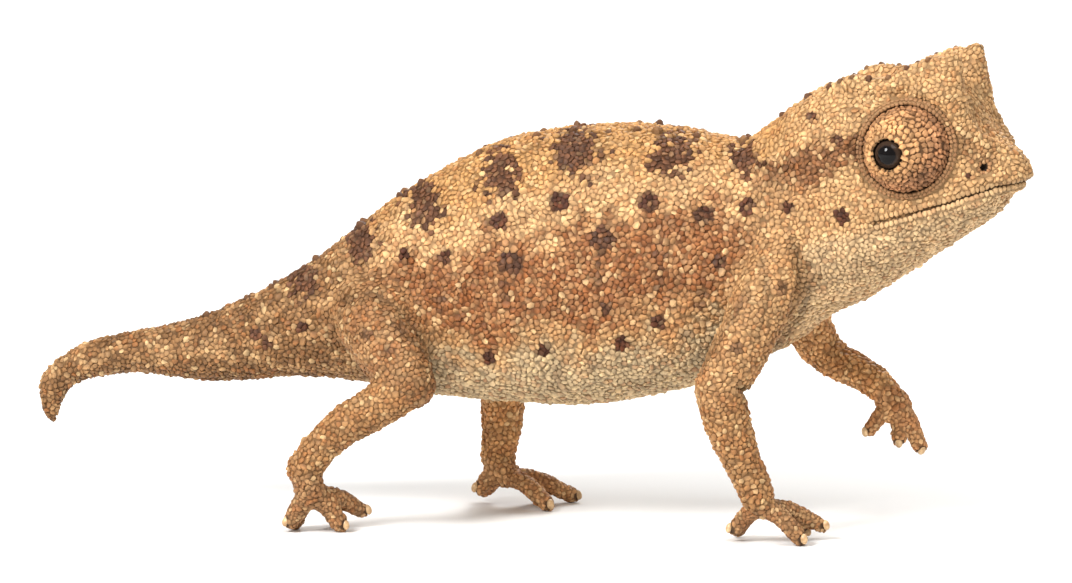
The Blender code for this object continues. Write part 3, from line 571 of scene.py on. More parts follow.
def orbit_ring(side):
    """The raised ring of skin round an eye as one closed tube."""
    around, across = 48, 10
    verts = []
    for i in range(around):
        angle = math.tau * i / around
        out = np.array([math.cos(angle), 0.0, math.sin(angle)])
        plane = orbit_plane(out[0] * ORBIT_RADIUS, out[2] * ORBIT_RADIUS)
        centre = np.array([EYE_CENTRE[0], side * plane, EYE_CENTRE[2]])
        for j in range(across):
            turn = math.tau * j / across
            offset = out * math.cos(turn) + np.array([0.0, side * 1.3 * math.sin(turn), 0.0])
            verts.append(centre + out * ORBIT_RADIUS + offset * ORBIT_RIM)
    return bent(verts), bands(around, across, closed=True, flipped=True)


def nostril_axis(side):
    """The middle of a nostril before the neck is bent, and the way it faces."""
    out = np.array(NOSTRIL_OUT) * (1.0, side, 1.0)
    return np.array(NOSTRIL_CENTRE) * (1.0, side, 1.0), out / np.linalg.norm(out)


def nostril_path(side):
    """A short path that makes the swelling round a nostril."""
    centre, out = nostril_axis(side)
    inner = centre - out * 0.35
    outer = centre - out * 0.14
    return [(*inner, NOSTRIL_RIM_RADIUS + 0.04), (*outer, NOSTRIL_RIM_RADIUS)]


def lip_path(mouth, lift):
    """A path just inside the lip above or below the mouth line, thinner at the corners."""
    path = []
    last = len(mouth) - 1
    for i, (x, y, z) in enumerate(mouth[::2]):
        fade = math.sin(math.pi * (2 * i + 0.8) / (last + 1.6)) ** 0.5
        inward = np.array([0.985, -0.17 - 0.04 * y, 0.0]) * -0.05
        inward[1] -= 0.05 * math.copysign(1.0, y + 1.3)
        path.append((x + inward[0], y + inward[1], z + lift, 0.05 + 0.10 * fade))
    return path


def skin_parts(mouth):
    """Every closed form that melts into the skin."""
    parts = [body_surface()]
    for side in (-1.0, 1.0):
        for crest in CRESTS:
            parts.append(tube(mirrored(crest, side), 24, 20, 0.04, bent))
        parts.append(orbit_ring(side))
        parts.append(tube(nostril_path(side), 4, 16, 0.0, bent))
    for lift in (0.16, -0.16):
        parts.append(tube(lip_path(mouth, lift), 90, 12, 0.0))
    for limb in LIMBS.values():
        parts.append(tube(limb["upper"], 20, 32))
        parts.append(tube(limb["lower"], 20, 32))
        wrist = limb["lower"][-1]
        parts.append(tube([wrist, limb["palm"]], 10, 28))
        for tip in limb["toes"]:
            parts.append(tube(toe_path(limb["palm"], tip), 14, 16, 0.4 * COAT_DEPTH))
    return parts


def mesh_object(name, verts, faces, scale=MM):
    """A new object from vertices in millimetres."""
    mesh = bpy.data.meshes.new(name)
    mesh.from_pydata((np.asarray(verts) * scale).tolist(), [], faces)
    mesh.update()
    obj = bpy.data.objects.new(name, mesh)
    bpy.context.scene.collection.objects.link(obj)
    return obj


def set_colours(mesh, colours):
    """Stores one linear colour for each vertex under the name coat."""
    attribute = mesh.color_attributes.new("coat", "FLOAT_COLOR", "POINT")
    flat = np.column_stack([colours, np.ones(len(colours))]).astype(np.float32).ravel()
    attribute.data.foreach_set("color", flat)


def smooth_object(name, verts, faces, colours=None):
    """A new object with smooth shading, and its colours if it has any."""
    obj = mesh_object(name, verts, faces)
    obj.data.shade_smooth()
    if colours is not None:
        set_colours(obj.data, colours)
    return obj


def remeshed(verts, faces):
    """Vertices and faces of one surface round all the given forms."""
    obj = mesh_object("forms", verts, faces, 1.0)
    modifier = obj.modifiers.new("Remesh", "REMESH")
    modifier.mode = "VOXEL"
    modifier.voxel_size = VOXEL
    modifier.adaptivity = 0.0
    bpy.context.view_layer.update()
    depsgraph = bpy.context.evaluated_depsgraph_get()
    mesh = bpy.data.meshes.new_from_object(obj.evaluated_get(depsgraph))
    verts = mesh_vertices(mesh)
    faces = [tuple(polygon.vertices) for polygon in mesh.polygons]
    bpy.data.objects.remove(obj)
    bpy.data.meshes.remove(mesh)
    return verts, faces


def mesh_vertices(mesh):
    """A mesh's vertex places as an array."""
    flat = np.empty(len(mesh.vertices) * 3)
    mesh.vertices.foreach_get("co", flat)
    return flat.reshape(-1, 3)


def sums_at(index, rows, count):
    """The sum of the rows that belong to each of count points."""
    return np.column_stack([np.bincount(index, weights=column, minlength=count)
                            for column in rows.T])


class Surface:
    """The skin's points, with what is needed to smooth them and find their normals."""

    def __init__(self, verts, faces):
        self.verts = verts
        self.faces = faces
        quads = np.array([face if len(face) == 4 else (*face, face[-1]) for face in faces])
        self.quads = quads
        pairs = np.vstack([quads[:, [0, 1]], quads[:, [1, 2]], quads[:, [2, 3]], quads[:, [3, 0]]])
        pairs = pairs[pairs[:, 0] != pairs[:, 1]]
        self.pairs = np.vstack([pairs, pairs[:, ::-1]])
        self.degree = np.bincount(self.pairs[:, 0], minlength=len(verts))[:, None]

    def smooth(self, rounds, weight=0.5, share=None):
        """Moves every point towards the middle of its neighbours."""
        for _ in range(rounds):
            ends = self.verts[self.pairs[:, 1]]
            total = sums_at(self.pairs[:, 0], ends, len(self.verts))
            step = weight * (total / self.degree - self.verts)
            if share is not None:
                step *= share[:, None]
            self.verts = self.verts + step

    def normals(self):
        """Outward unit vectors at the points."""
        a, b, c, d = (self.verts[self.quads[:, i]] for i in range(4))
        area = np.cross(c - a, d - b)
        total = sum(sums_at(self.quads[:, i], area, len(self.verts)) for i in range(4))
        return total / np.maximum(np.linalg.norm(total, axis=1, keepdims=True), 1e-12)


def along_segment(points, a, b):
    """How far along from a to b each point lies, from 0 to 1, and its distance from there."""
    along = b - a
    share = np.clip((points - a) @ along / (along @ along), 0.0, 1.0)
    return share, np.linalg.norm(points - (a + share[:, None] * along), axis=1)


def distance_to_path(points, path):
    """Each point's distance to a line through the points of a path."""
    path = np.asarray(path, dtype=float)
    nearest = np.full(len(points), np.inf)
    for a, b in zip(path, path[1:]):
        nearest = np.minimum(nearest, along_segment(points, a, b)[1])
    return nearest


def eye_polar(points):
    """Distance out along the eye's axis and radius from it."""
    straight = unbent(points)
    side = np.where(straight[:, 1] < 0.0, -1.0, 1.0)
    out = side * straight[:, 1] - EYE_CENTRE[1]
    return out, np.hypot(straight[:, 0] - EYE_CENTRE[0], straight[:, 2] - EYE_CENTRE[2])


def section_of(x):
    """The position in SECTION_ROWS whose middle has this straight x, for the trunk."""
    positions = np.linspace(4.0, LAST_SECTION, 400)
    middle = straight_body(positions, np.full(400, math.pi / 2.0))[:, 0]
    return np.interp(x, middle, positions)


def mouth_points(steps=26):
    """The mouth line from the right corner round the snout to the left corner."""
    line = curve_values(MOUTH_LINE, np.linspace(0.0, len(MOUTH_LINE) - 1.0, steps))
    right = []
    for x, z in line:
        position = float(section_of(np.array([x]))[0])
        turns = np.linspace(0.0, math.pi, 400)
        ring = straight_body(np.full(400, position), turns, -COAT_DEPTH)
        index = int(np.argmin(np.abs(ring[:, 2] - z)))
        right.append((x, -ring[index, 1], z))
    front = (MOUTH_FRONT[0], 0.0, MOUTH_FRONT[1])
    left = [(x, -y, z) for x, y, z in reversed(right)]
    return bent(right + [front] + left)


def crease_paths():
    """Folds of the skin as (path, depth, half width)."""
    creases = []
    for side in (-1.0, 1.0):
        creases.append(([(7.55, side * 2.2, 8.2), (7.75, side * 2.35, 7.3),
                         (7.45, side * 2.45, 6.4), (6.95, side * 2.4, 5.6)], 0.16, 0.16))
        creases.append(([(5.85, side * 2.55, 7.2), (5.45, side * 2.65, 6.2),
                         (5.05, side * 2.6, 5.3)], 0.12, 0.14))
        creases.append(([(8.2, side * 2.1, 9.0), (8.35, side * 2.2, 8.0),
                         (8.2, side * 2.1, 7.2)], 0.07, 0.12))
    creases.append(([(-4.9, -1.9, 6.2), (-3.9, -2.3, 6.35), (-3.0, -2.6, 5.75),
                     (-2.4, -2.6, 5.0), (-2.1, -2.4, 4.3)], 0.14, 0.15))
    creases.append(([(-4.8, 1.9, 6.2), (-3.6, 2.4, 6.3), (-2.2, 2.8, 5.9)], 0.12, 0.15))
    creases.append(([(6.25, -3.55, 4.45), (6.35, -3.1, 4.2), (6.25, -2.5, 4.2)], 0.10, 0.10))
    return creases


def organic_lumps(points):
    """Gentle unevenness of flesh in millimetres at each point."""
    lumps = np.empty(len(points))
    for i, point in enumerate(points):
        low = noise.noise(Vector(point) * 0.9)
        high = noise.noise(Vector(point) * 2.6 + Vector((7.0, 3.0, 1.0)))
        lumps[i] = 0.045 * low + 0.022 * high
    return lumps


def open_sockets(points):
    """Sinks the skin inside the eyes' rings and slopes it back from them."""
    head = points[:, 0] > HEAD_START
    straight = unbent(points)
    side = np.where(straight[:, 1] < 0.0, -1.0, 1.0)
    ahead = straight[:, 0] - EYE_CENTRE[0]
    up = straight[:, 2] - EYE_CENTRE[2]
    radius = np.hypot(ahead, up)
    out = side * straight[:, 1]
    plane = orbit_plane(ahead, up)
    ring = 0.14 * ramp(radius, ORBIT_RADIUS + 0.13, ORBIT_RADIUS + 0.03)
    slope = plane - 0.04 + ring + np.maximum(radius - CLEARING_RADIUS, 0.0) * CLEARING_RISE
    around = head & (radius > SOCKET_RADIUS - 0.02) & (radius < 2.6) & (out > 0.8)
    softness = 0.06
    over = out - slope
    softened = slope - softness * np.log1p(np.exp(np.clip(-over / softness, -30.0, 30.0)))
    out = np.where(around & (over > -0.2), np.minimum(out, softened + 0.5 * softness), out)
    floor = EYE_CENTRE[1] + SOCKET_FLOOR
    inside = head & (radius < SOCKET_RADIUS) & (out > floor)
    share = np.clip((SOCKET_RADIUS - radius) / 0.05, 0.0, 1.0)
    out = np.where(inside, out + (floor - out) * share, out)
    straight[:, 1] = side * out
    return np.where(head[:, None], bent(straight), points)


def set_back(points):
    """Points with the lower jaw's tip moved back under the upper lip."""
    straight = unbent(points)
    back = ramp(straight[:, 0], 12.9, 13.7) * ramp(straight[:, 2], 10.06, 9.97)
    moved = straight - np.outer(JAW_SETBACK * back, (1.0, 0.0, 0.0))
    return points + bent(moved) - bent(straight)


def make_surface(mouth):
    """The skin's surface with sockets, mouth, nostrils and folds sunk into it."""
    verts, faces = join_parts(skin_parts(mouth))
    surface = Surface(*remeshed(verts, faces))
    surface.smooth(SMOOTH_ROUNDS)
    blend = np.zeros(len(surface.verts))
    for limb in LIMBS.values():
        root = np.array(limb["upper"][1][:3])
        gap = np.linalg.norm(surface.verts - root, axis=1)
        blend = np.maximum(blend, np.clip((2.1 - gap) / 0.8, 0.0, 1.0))
    for place in bent([(11.8, -0.95, 12.3), (11.8, 0.95, 12.3), (12.2, 0.0, 11.9)]):
        gap = np.linalg.norm(surface.verts - place, axis=1)
        blend = np.maximum(blend, 0.5 * np.clip((1.2 - gap) / 0.6, 0.0, 1.0))
    surface.smooth(BLEND_ROUNDS, 0.5, blend)
    normals = surface.normals()
    sink = -organic_lumps(surface.verts)
    for path, depth, width in crease_paths():
        sink += 1.5 * depth * np.exp(-(distance_to_path(surface.verts, path) / width) ** 2)
    sink += MOUTH_DEPTH * np.exp(-(distance_to_path(surface.verts, mouth) / 0.06) ** 2)
    sink += 0.22 * np.exp(-(nostril_gap(surface.verts) / NOSTRIL_HOLE_RADIUS) ** 4)
    surface.verts = surface.verts - normals * sink[:, None]
    surface.verts = open_sockets(surface.verts)
    surface.verts = set_back(surface.verts)
    surface.verts[:, 2] = np.maximum(surface.verts[:, 2], SOLE_LIFT)
    return surface


def nostril_frames():
    """The middle of each nostril on the skin and the way it faces."""
    frames = []
    for side in (-1.0, 1.0):
        centre, out = nostril_axis(side)
        centre = centre + out * 0.10 - (0.0, 0.0, NOSTRIL_DROP)
        placed = bent([centre, centre + out])
        frames.append((placed[0], placed[1] - placed[0]))
    return frames


def nostril_gap(points):
    """Each point's distance from the axis of the nearer nostril."""
    nearest = np.full(len(points), 9.0)
    for centre, out in nostril_frames():
        rel = points - centre
        deep = rel @ out
        gap = np.linalg.norm(rel - deep[:, None] * out, axis=1)
        nearest = np.minimum(nearest, np.where(np.abs(deep) < 0.45, gap, 9.0))
    return nearest


def limb_bones():
    """Names, start points, end points and radii of every straight length of the limbs."""
    bones = []
    for name, limb in LIMBS.items():
        for part in ("upper", "lower"):
            path = limb[part]
            for a, b in zip(path, path[1:]):
                bones.append((name, part, np.array(a[:3]), np.array(b[:3]), a[3], b[3]))
        wrist = limb["lower"][-1]
        palm = limb["palm"]
        bones.append((name, "palm", np.array(wrist[:3]), np.array(palm[:3]), wrist[3], palm[3]))
        for k, tip in enumerate(limb["toes"]):
            path = toe_path(palm, tip)
            for a, b in zip(path, path[1:]):
                bones.append((name, f"toe{k}", np.array(a[:3]), np.array(b[:3]), a[3], b[3]))
    return bones


BONES = limb_bones()
BONE_PARTS = ["upper", "lower", "palm", "toe0", "toe1", "toe2", "toe3", "toe4"]
FIRST_TOE = BONE_PARTS.index("toe0")
ON_LIMB = 0.5
BONE_LIMBS = np.array([name for name, *_ in BONES])
BONE_NUMBERS = np.array([BONE_PARTS.index(part) for _, part, *_ in BONES])


def nearest_bone(points):
    """For each point the nearest limb bone, its depth inside it and the share along it."""
    best = np.full(len(points), np.inf)
    index = np.zeros(len(points), dtype=int)
    share = np.zeros(len(points))
    for i, (_, _, a, b, r0, r1) in enumerate(BONES):
        t, gap = along_segment(points, a, b)
        gap = gap - (r0 + (r1 - r0) * t)
        closer = gap < best
        best = np.where(closer, gap, best)
        index = np.where(closer, i, index)
        share = np.where(closer, t, share)
    return index, best, share


def trunk_place(points):
    """Section position, height share and turn from the belly of points on the trunk."""
    straight = np.where(points[:, :1] > 6.2, unbent(points), points)
    x = straight[:, 0]
    position = section_of(x)
    rows = curve_values(SECTION_ROWS, position)
    tilt = (straight[:, 2] - rows[:, 3]) / np.maximum(rows[:, 1] - rows[:, 3], 0.1)
    lean = (rows[:, 0] - rows[:, 2]) * (np.clip(tilt, 0.0, 1.0) - rows[:, 5])
    position = section_of(x - lean)
    rows = curve_values(SECTION_ROWS, position)
    height = (straight[:, 2] - rows[:, 3]) / np.maximum(rows[:, 1] - rows[:, 3], 0.1)
    across = straight[:, 1] - tail_shift(x)
    turn = np.arctan2(across, (0.5 - height) * np.maximum(rows[:, 1] - rows[:, 3], 0.1))
    return position, height, turn


def wobble(points, scale, seed):
    """Smooth noise at points, about -0.5 to 0.5."""
    shift = Vector((seed * 3.1, seed * 1.7, seed * 2.3))
    return np.array([noise.noise(Vector(point) * scale + shift) for point in points])


def ramp(values, low, high):
    """A smooth step from 0 at low to 1 at high."""
    t = np.clip((values - low) / (high - low), 0.0, 1.0)
    return t * t * (3.0 - 2.0 * t)


def mix(colours, other, share):
    """Colours moved towards another colour."""
    return colours + (other - colours) * share[:, None]


def painted(colours, *layers):
    """Colours under layers laid on in turn, each a colour and its share at every point."""
    for colour, share in layers:
        colours = mix(colours, colour, share)
    return colours


def limb_share(points):
    """How much each point belongs to a limb, with the limb's part and name and its bone."""
    bone, gap, share = nearest_bone(points)
    position, _, _ = trunk_place(points)
    trunk_width = curve_values(SECTION_ROWS, position)[:, 4]
    parts = BONE_NUMBERS[bone]
    outside = np.abs(points[:, 1]) - trunk_width * 0.86
    membership = np.where(parts == 0, ramp(outside, 0.0, 0.5), 1.0)
    membership = membership * ramp(-gap, -0.35, -0.12)
    return membership, parts, BONE_LIMBS[bone], share, bone


def coat_colours(points):
    """The colour of skin and scales at each point, and how dark the markings are there."""
    count = len(points)
    slow = wobble(points, 0.8, 1)
    fine = wobble(points, 2.6, 2)
    ragged = wobble(points, 5.5, 3)
    place = picture_place(points)
    across, down = place.T
    x = points[:, 0]
    trunk = ramp(x, -6.0, -4.2) * ramp(x, 7.4, 6.2)
    tail = ramp(x, -3.4, -5.2)
    head = ramp(x, 6.6, 8.0)
    shift = 22.0 * slow + 26.0 * fine
    pale_edge = np.interp(across, *zip(*PALE_EDGE)) + shift
    rust_edge = np.interp(across, *zip(*RUST_EDGE)) + shift
    jaw = down - np.interp(across, *zip(*JAW_EDGE))
    rust = ramp(down, pale_edge - 12.0, pale_edge + 14.0) * trunk
    colours = painted(
        np.tile(BACK_TAN, (count, 1)),
        (PALE_BAND, ramp(down, pale_edge - 62.0, pale_edge - 26.0)),
        (RUST, rust * np.clip(0.86 + 0.7 * ragged, 0.0, 1.0)),
        (BELLY_TAN, ramp(down, rust_edge - 14.0, rust_edge + 16.0) * trunk),
        (BELLY_OLIVE, ramp(down, rust_edge + 6.0, rust_edge + 40.0) * trunk),
        (TAIL_TAN, tail),
        (PALE_BAND, tail * ramp(fine, 0.0, 0.35) * 0.4),
        (HEAD_TAN, head),
        (THROAT, head * ramp(jaw, -4.0, 18.0)),
    )
    membership, parts, names, _, _ = limb_share(points)
    upper = parts == 0
    arm = np.char.endswith(names, "arm")
    limb_colours = painted(
        np.tile(LIMB_TAN, (count, 1)),
        (UPPER_ARM_TAN, (upper & arm) * 0.9),
        (THIGH_TAN, (upper & ~arm) * 0.9),
        (FOOT_BROWN, (parts >= 2) * 0.7),
        (RUST, ramp(fine, 0.08, 0.35) * 0.35),
        (PALE_BAND, ramp(-fine, 0.1, 0.4) * 0.35),
    )
    reach = 17.0 + 9.0 * ramp(across, 840.0, 800.0) + 16.0 * ragged
    rusty = distance_to_path(place, NECK_RUST) + 30.0 * ragged
    neck = ramp(np.hypot((across - 772.0) / 52.0, (down - 212.0) / 46.0), 1.0, 0.4)
    shoulder = ramp(np.hypot((across - 772.0) / 40.0, (down - 290.0) / 46.0), 1.0, 0.4)
    colours = painted(
        mix(colours, limb_colours, membership),
        (BAND_BROWN, ramp(distance_to_path(place, TEMPLE_BAND), reach, reach - 10.0) * 0.92),
        (BAND_BROWN, ramp(distance_to_path(place, CANTHAL_BAND), 13.0, 5.0) * 0.42),
        (RUST, ramp(rusty, 34.0, 8.0) * 0.35 * (1.0 - membership)),
        (HEAD_TAN, np.maximum(0.62 * neck, 0.42 * shoulder)),
    )
    # Painted light: the far limbs are made lighter, for fill light in the shade under the body
    far_limb_fill_light = membership * ramp(points[:, 1], 0.3, 0.9)
    tone_and_far_fill_light = 0.77 + 0.42 * far_limb_fill_light
    colours = colours * (tone_and_far_fill_light * (1.0 + 0.14 * slow + 0.16 * fine))[:, None]
    dark = markings(points, membership, ragged)
    return np.clip(mix(colours, BLOTCH_BROWN, dark), 0.006, 1.0), np.minimum(dark, 1.0)


def markings(points, membership, ragged):
    """How dark the blotches and spots make each point."""
    place = picture_place(points)
    place[:, 0] += np.where(points[:, 1] > 0.3, 9.0, 0.0)
    flank = 1.0 - ramp(membership, 0.2, 0.6)
    dark = np.zeros(len(points))
    rough = wobble(points, 9.0, 8)
    for across, down, width, height in BACK_BLOTCHES:
        reach = np.hypot((place[:, 0] - across) / width, (place[:, 1] - down) / height)
        mark = ramp(reach + 0.9 * ragged + 0.7 * rough, 1.22, 1.02)
        dark = np.maximum(dark, mark * flank)
    spots = [(spot, 1.08, flank) for spot in SMALL_SPOTS]
    spots += [(spot, 0.38, flank) for spot in FAINT_SPOTS]
    spots += [(spot, 0.70, 1.0 - flank) for spot in LIMB_SPOTS]
    for (across, down, size), strength, where in spots:
        reach = np.hypot(place[:, 0] - across, place[:, 1] - down) / size
        mark = ramp(reach + 0.35 * rough, 1.20, 0.96)
        # Painted highlight: the middle of each larger spot is kept lighter
        mark *= 1.0 - 0.42 * (reach < 0.30) * (size >= 8)
        dark = np.maximum(dark, mark * strength * where)
    for across, top, bottom in FLANK_LINES:
        reach = np.abs(place[:, 0] - across + 8.0 * ragged) / 4.5
        within = ramp(place[:, 1], top - 4, top + 4) * ramp(place[:, 1], bottom + 4, bottom - 4)
        beads = ramp(np.sin(place[:, 1] * 0.55 + across), -0.5, 0.3)
        dark = np.maximum(dark, ramp(reach, 1.0, 0.7) * within * beads * flank * 0.8)
    return dark


def make_skin(surface, mouth):
    """The skin object with its colours and painted shade: darker all over under the scales, and darker
    in folds, mouth, sockets, nostrils and round the claws.
    """
    verts = surface.verts
    colours, _ = coat_colours(verts)
    # Painted shade: the skin is darkened for the gaps between scales and for the folds
    colours = colours * (SKIN_SHADE * fold_shade(verts))[:, None]
    out, radius = eye_polar(verts)
    socket = (verts[:, 0] > HEAD_START) & (out > 0.0) & (radius < SOCKET_RADIUS + 0.03)
    # Painted shade darkens the mouth line, the eye sockets, the nostril holes and the skin round the
    # claws' roots
    colours = painted(
        colours,
        (GROOVE_SHADE, np.exp(-(distance_to_path(verts, mouth) / 0.09) ** 2)),
        (GROOVE_SHADE, socket * 0.9),
        (GROOVE_SHADE, ramp(nostril_gap(verts), 0.18, 0.14)),
        (GROOVE_SHADE, ramp(nearest_gap(verts, claw_beds()), 0.22, 0.16) * 0.8),
    )
    return smooth_object("skin", verts, surface.faces, colours)


def fold_shade(points):
    """How much painted shade darkens the skin and scales in the folds and along the limbs' edges."""
    shade = np.ones(len(points))
    for path, _, width in crease_paths():
        gap = distance_to_path(points, path)
        shade *= 1.0 - 0.38 * np.exp(-(gap / (1.5 * width)) ** 2)
    place = picture_place(points)
    for path in FOLD_SHADE_LINES:
        gap = distance_to_path(place, path)
        shade *= 1.0 - 0.42 * np.exp(-(gap / 3.6) ** 2)
    return shade


def sample_surface(surface, draw, density):
    """Random points of the surface, area by area."""
    quads = surface.quads
    triangles = np.vstack([quads[:, [0, 1, 2]], quads[:, [0, 2, 3]]])
    a, b, c = (surface.verts[triangles[:, i]] for i in range(3))
    areas = 0.5 * np.linalg.norm(np.cross(b - a, c - a), axis=1)
    count = int(areas.sum() * density)
    chosen = draw.choice(len(triangles), size=count, p=areas / areas.sum())
    u, v = draw.random(count), draw.random(count)
    over = u + v > 1.0
    u[over], v[over] = 1.0 - u[over], 1.0 - v[over]
    weights = np.column_stack([1.0 - u - v, u, v])
    corners = triangles[chosen]
    return sum(surface.verts[corners[:, i]] * weights[:, i:i + 1] for i in range(3))


class Seeds:
    """Places of scales with their radii, heights and kinds; an empty place holds room only."""

    PLAIN, EMPTY, LIP, RIM, NOSTRIL, TUBERCLE, BEAD = range(7)

    def __init__(self):
        self.places = []
        self.radii = []
        self.heights = []
        self.kinds = []

    def add(self, places, radius, height, kind):
        """Adds places with a radius and height, each one number or one for each place."""
        count = len(places)
        self.places.append(np.asarray(places, dtype=float).reshape(count, 3))
        self.radii.append(np.broadcast_to(radius, count).astype(float))
        self.heights.append(np.broadcast_to(height, count).astype(float))
        self.kinds.append(np.full(count, kind))

    def gather(self):
        """All that was added, as four arrays."""
        return (np.vstack(self.places), np.concatenate(self.radii),
                np.concatenate(self.heights), np.concatenate(self.kinds))


def along_line(line, spacing, lift=0.0):
    """Evenly spaced points along a line, shifted up by a lift."""
    lengths = lengths_along(line)
    at = np.arange(0.5 * spacing, lengths[-1], spacing)
    points = np.column_stack([np.interp(at, lengths, line[:, i]) for i in range(3)])
    return points + (0.0, 0.0, lift)


def eye_ring_points(side, radius, count, out=0.12):
    """Points on a circle round an eye, just outside its ring of skin."""
    points = []
    for k in range(count):
        angle = math.tau * k / count
        ahead, up = radius * math.cos(angle), radius * math.sin(angle)
        plane = orbit_plane(ahead, up) + out
        points.append((EYE_CENTRE[0] + ahead, side * plane, EYE_CENTRE[2] + up))
    return bent(points)


def nostril_ring(centre, out, radius, count):
    """Points on a circle round a nostril."""
    across = np.cross(out, (0.0, 0.0, 1.0))
    across /= np.linalg.norm(across)
    up = np.cross(across, out)
    angles = math.tau * np.arange(count)[:, None] / count
    return centre + (across * np.cos(angles) + up * np.sin(angles)) * radius


def crest_points(crest, positions, side, lean):
    """Places on the surface of a crest, out from its middle by its radius along a lean."""
    rows = curve_values(crest, positions)
    places = rows[:, :3] * (1.0, side, 1.0)
    return bent(places + np.array(lean) * (1.0, side, 1.0) * rows[:, 3:4])


def tubercle_seeds(seeds, draw):
    """Tubercles in two rows along the back and on the crests of the head."""
    places, sizes = [], []
    positions = np.linspace(0.0, LAST_SECTION, 800)
    tops = straight_body(positions, np.zeros(800))[:, 0]
    first = int(np.argmin(tops))
    for x, size in BACK_TUBERCLES:
        for side in (-1.0, 1.0):
            turn = side * BACK_ROW_TURN * draw.uniform(0.7, 1.3)
            here = float(np.interp(x + draw.uniform(-0.1, 0.1), tops[first:], positions[first:]))
            places.append(body_points([here], [turn], -COAT_DEPTH)[0])
            sizes.append(size * draw.uniform(0.85, 1.15))
    for crest, count, size in ((CRESTS[0], 7, 0.62), (CRESTS[4], 3, 0.5)):
        for side in (-1.0, 1.0):
            positions = (len(crest) - 1) * (np.arange(count) + 0.5) / count
            places.extend(crest_points(crest, positions, side, (0.0, 0.33, 0.94)))
            sizes.extend(size * draw.uniform(0.85, 1.15, count))
    sizes = np.array(sizes)
    seeds.add(places, TUBERCLE_RADIUS * sizes, TUBERCLE_HEIGHT * sizes, Seeds.TUBERCLE)
    for side in (-1.0, 1.0):
        positions = np.linspace(0.05, len(CRESTS[3]) - 1.1, 8)
        beads = crest_points(CRESTS[3], positions, side, (0.3, 0.75, 0.55))
        seeds.add(beads, BEAD_RADIUS, BEAD_HEIGHT, Seeds.BEAD)


def fixed_seeds(mouth, draw):
    """The scales with set places, and the empty places that keep grooves open."""
    seeds = Seeds()
    seeds.add(along_line(mouth, 0.05), 0.034, 0.0, Seeds.EMPTY)
    for lift in (LIP_LIFT, -LIP_LIFT):
        line = along_line(mouth, LIP_STEP, lift)
        seeds.add(line, LIP_RADIUS * draw.uniform(0.9, 1.1, len(line)), LIP_HEIGHT, Seeds.LIP)
    for side in (-1.0, 1.0):
        seeds.add(eye_ring_points(side, SOCKET_RADIUS - 0.005, 150, 0.05), 0.012, 0.0, Seeds.EMPTY)
        for past, out in RIM_ROWS:
            ring = eye_ring_points(side, ORBIT_RADIUS + past, RIM_COUNT, out)
            radii = RIM_RADIUS * draw.uniform(0.85, 1.15, len(ring))
            seeds.add(ring, radii, RIM_HEIGHT, Seeds.RIM)
        seeds.add(eye_ring_points(side, ORBIT_RADIUS + 0.135, 170, 0.0), 0.014, 0.0, Seeds.EMPTY)
    for centre, out in nostril_frames():
        for ring_radius, count, radius, height, kind in (
                (0.050, 5, 0.030, 0.0, Seeds.EMPTY), (0.105, 16, 0.014, 0.0, Seeds.EMPTY),
                (0.205, 12, 0.062, 0.060, Seeds.NOSTRIL), (0.285, 30, 0.010, 0.0, Seeds.EMPTY)):
            seeds.add(nostril_ring(centre, out, ring_radius, count), radius, height, kind)
    tubercle_seeds(seeds, draw)
    return seeds


def nearest_others(places, count):
    """Indexes of the nearest other places to each place."""
    tree = kdtree.KDTree(len(places))
    for index, place in enumerate(places):
        tree.insert(place, index)
    tree.balance()
    found = np.empty((len(places), count), dtype=int)
    for index, place in enumerate(places):
        found[index] = [other for _, other, _ in tree.find_n(place, count + 1)[1:]]
    return found


def onto_surface(places, surface, tree):
    """The nearest points of the skin to places, and the skin's normals there."""
    landed = np.empty_like(places)
    faces = np.empty(len(places), dtype=int)
    for index, place in enumerate(places):
        spot, _, face, _ = tree.find_nearest(place)
        landed[index] = spot
        faces[index] = face
    return landed, unit_rows(surface.normals()[surface.quads[faces]].mean(axis=1))


def relaxed(places, radii, fixed, surface, tree):
    """Places pushed apart until neighbours lie about their two radii from each other."""
    for _ in range(RELAX_ROUNDS):
        near = nearest_others(places, 8)
        away = places[:, None] - places[near]
        distance = np.maximum(np.linalg.norm(away, axis=2), 1e-6)
        wanted = 1.12 * (radii[:, None] + radii[near])
        push = np.clip(wanted - distance, 0.0, None) / distance
        step = 0.30 * (away * push[:, :, None]).sum(axis=1)
        length = np.maximum(np.linalg.norm(step, axis=1, keepdims=True), 1e-9)
        step *= np.minimum(1.0, 0.04 / length)
        places = np.where(fixed[:, None], places, places + step)
        landed, _ = onto_surface(places, surface, tree)
        places = np.where(fixed[:, None], places, landed)
    return places


def tangent_axes(normals, spin):
    """Two unit vectors across each normal, turned by a spin."""
    guide = np.where(np.abs(normals[:, 2:3]) > 0.9, (1.0, 0.0, 0.0), (0.0, 0.0, 1.0))
    across = unit_rows(np.cross(normals, guide))
    along = np.cross(across, normals)
    cosine, sine = np.cos(spin)[:, None], np.sin(spin)[:, None]
    return along * cosine + across * sine, across * cosine - along * sine


def tile_outlines(places, normals, radii, near, draw):
    """How far each scale reaches each way before it meets a neighbour, with its axes."""
    along, across = tangent_axes(normals, draw.random(len(places)) * math.tau)
    offset = places[near] - places[:, None]
    a = (offset * along[:, None]).sum(axis=2)
    b = (offset * across[:, None]).sum(axis=2)
    distance = np.maximum(np.hypot(a, b), 1e-6)
    edge = (distance ** 2 + radii[:, None] ** 2 - radii[near] ** 2) / (2.0 * distance)
    angles = round_angles(SCALE_SIDES)
    toward = a[:, None] * np.cos(angles)[:, None] + b[:, None] * np.sin(angles)[:, None]
    toward = toward / distance[:, None]
    reach = np.where(toward > 0.12, edge[:, None] / np.maximum(toward, 0.12), 9.0).min(axis=2)
    reach = np.clip(reach, 0.3 * radii[:, None], 1.5 * radii[:, None])
    ragged = draw.uniform(1.0 - EDGE_RAGGED, 1.0 + 0.7 * EDGE_RAGGED, reach.shape)
    return (reach - GROOVE) * ragged, along, across


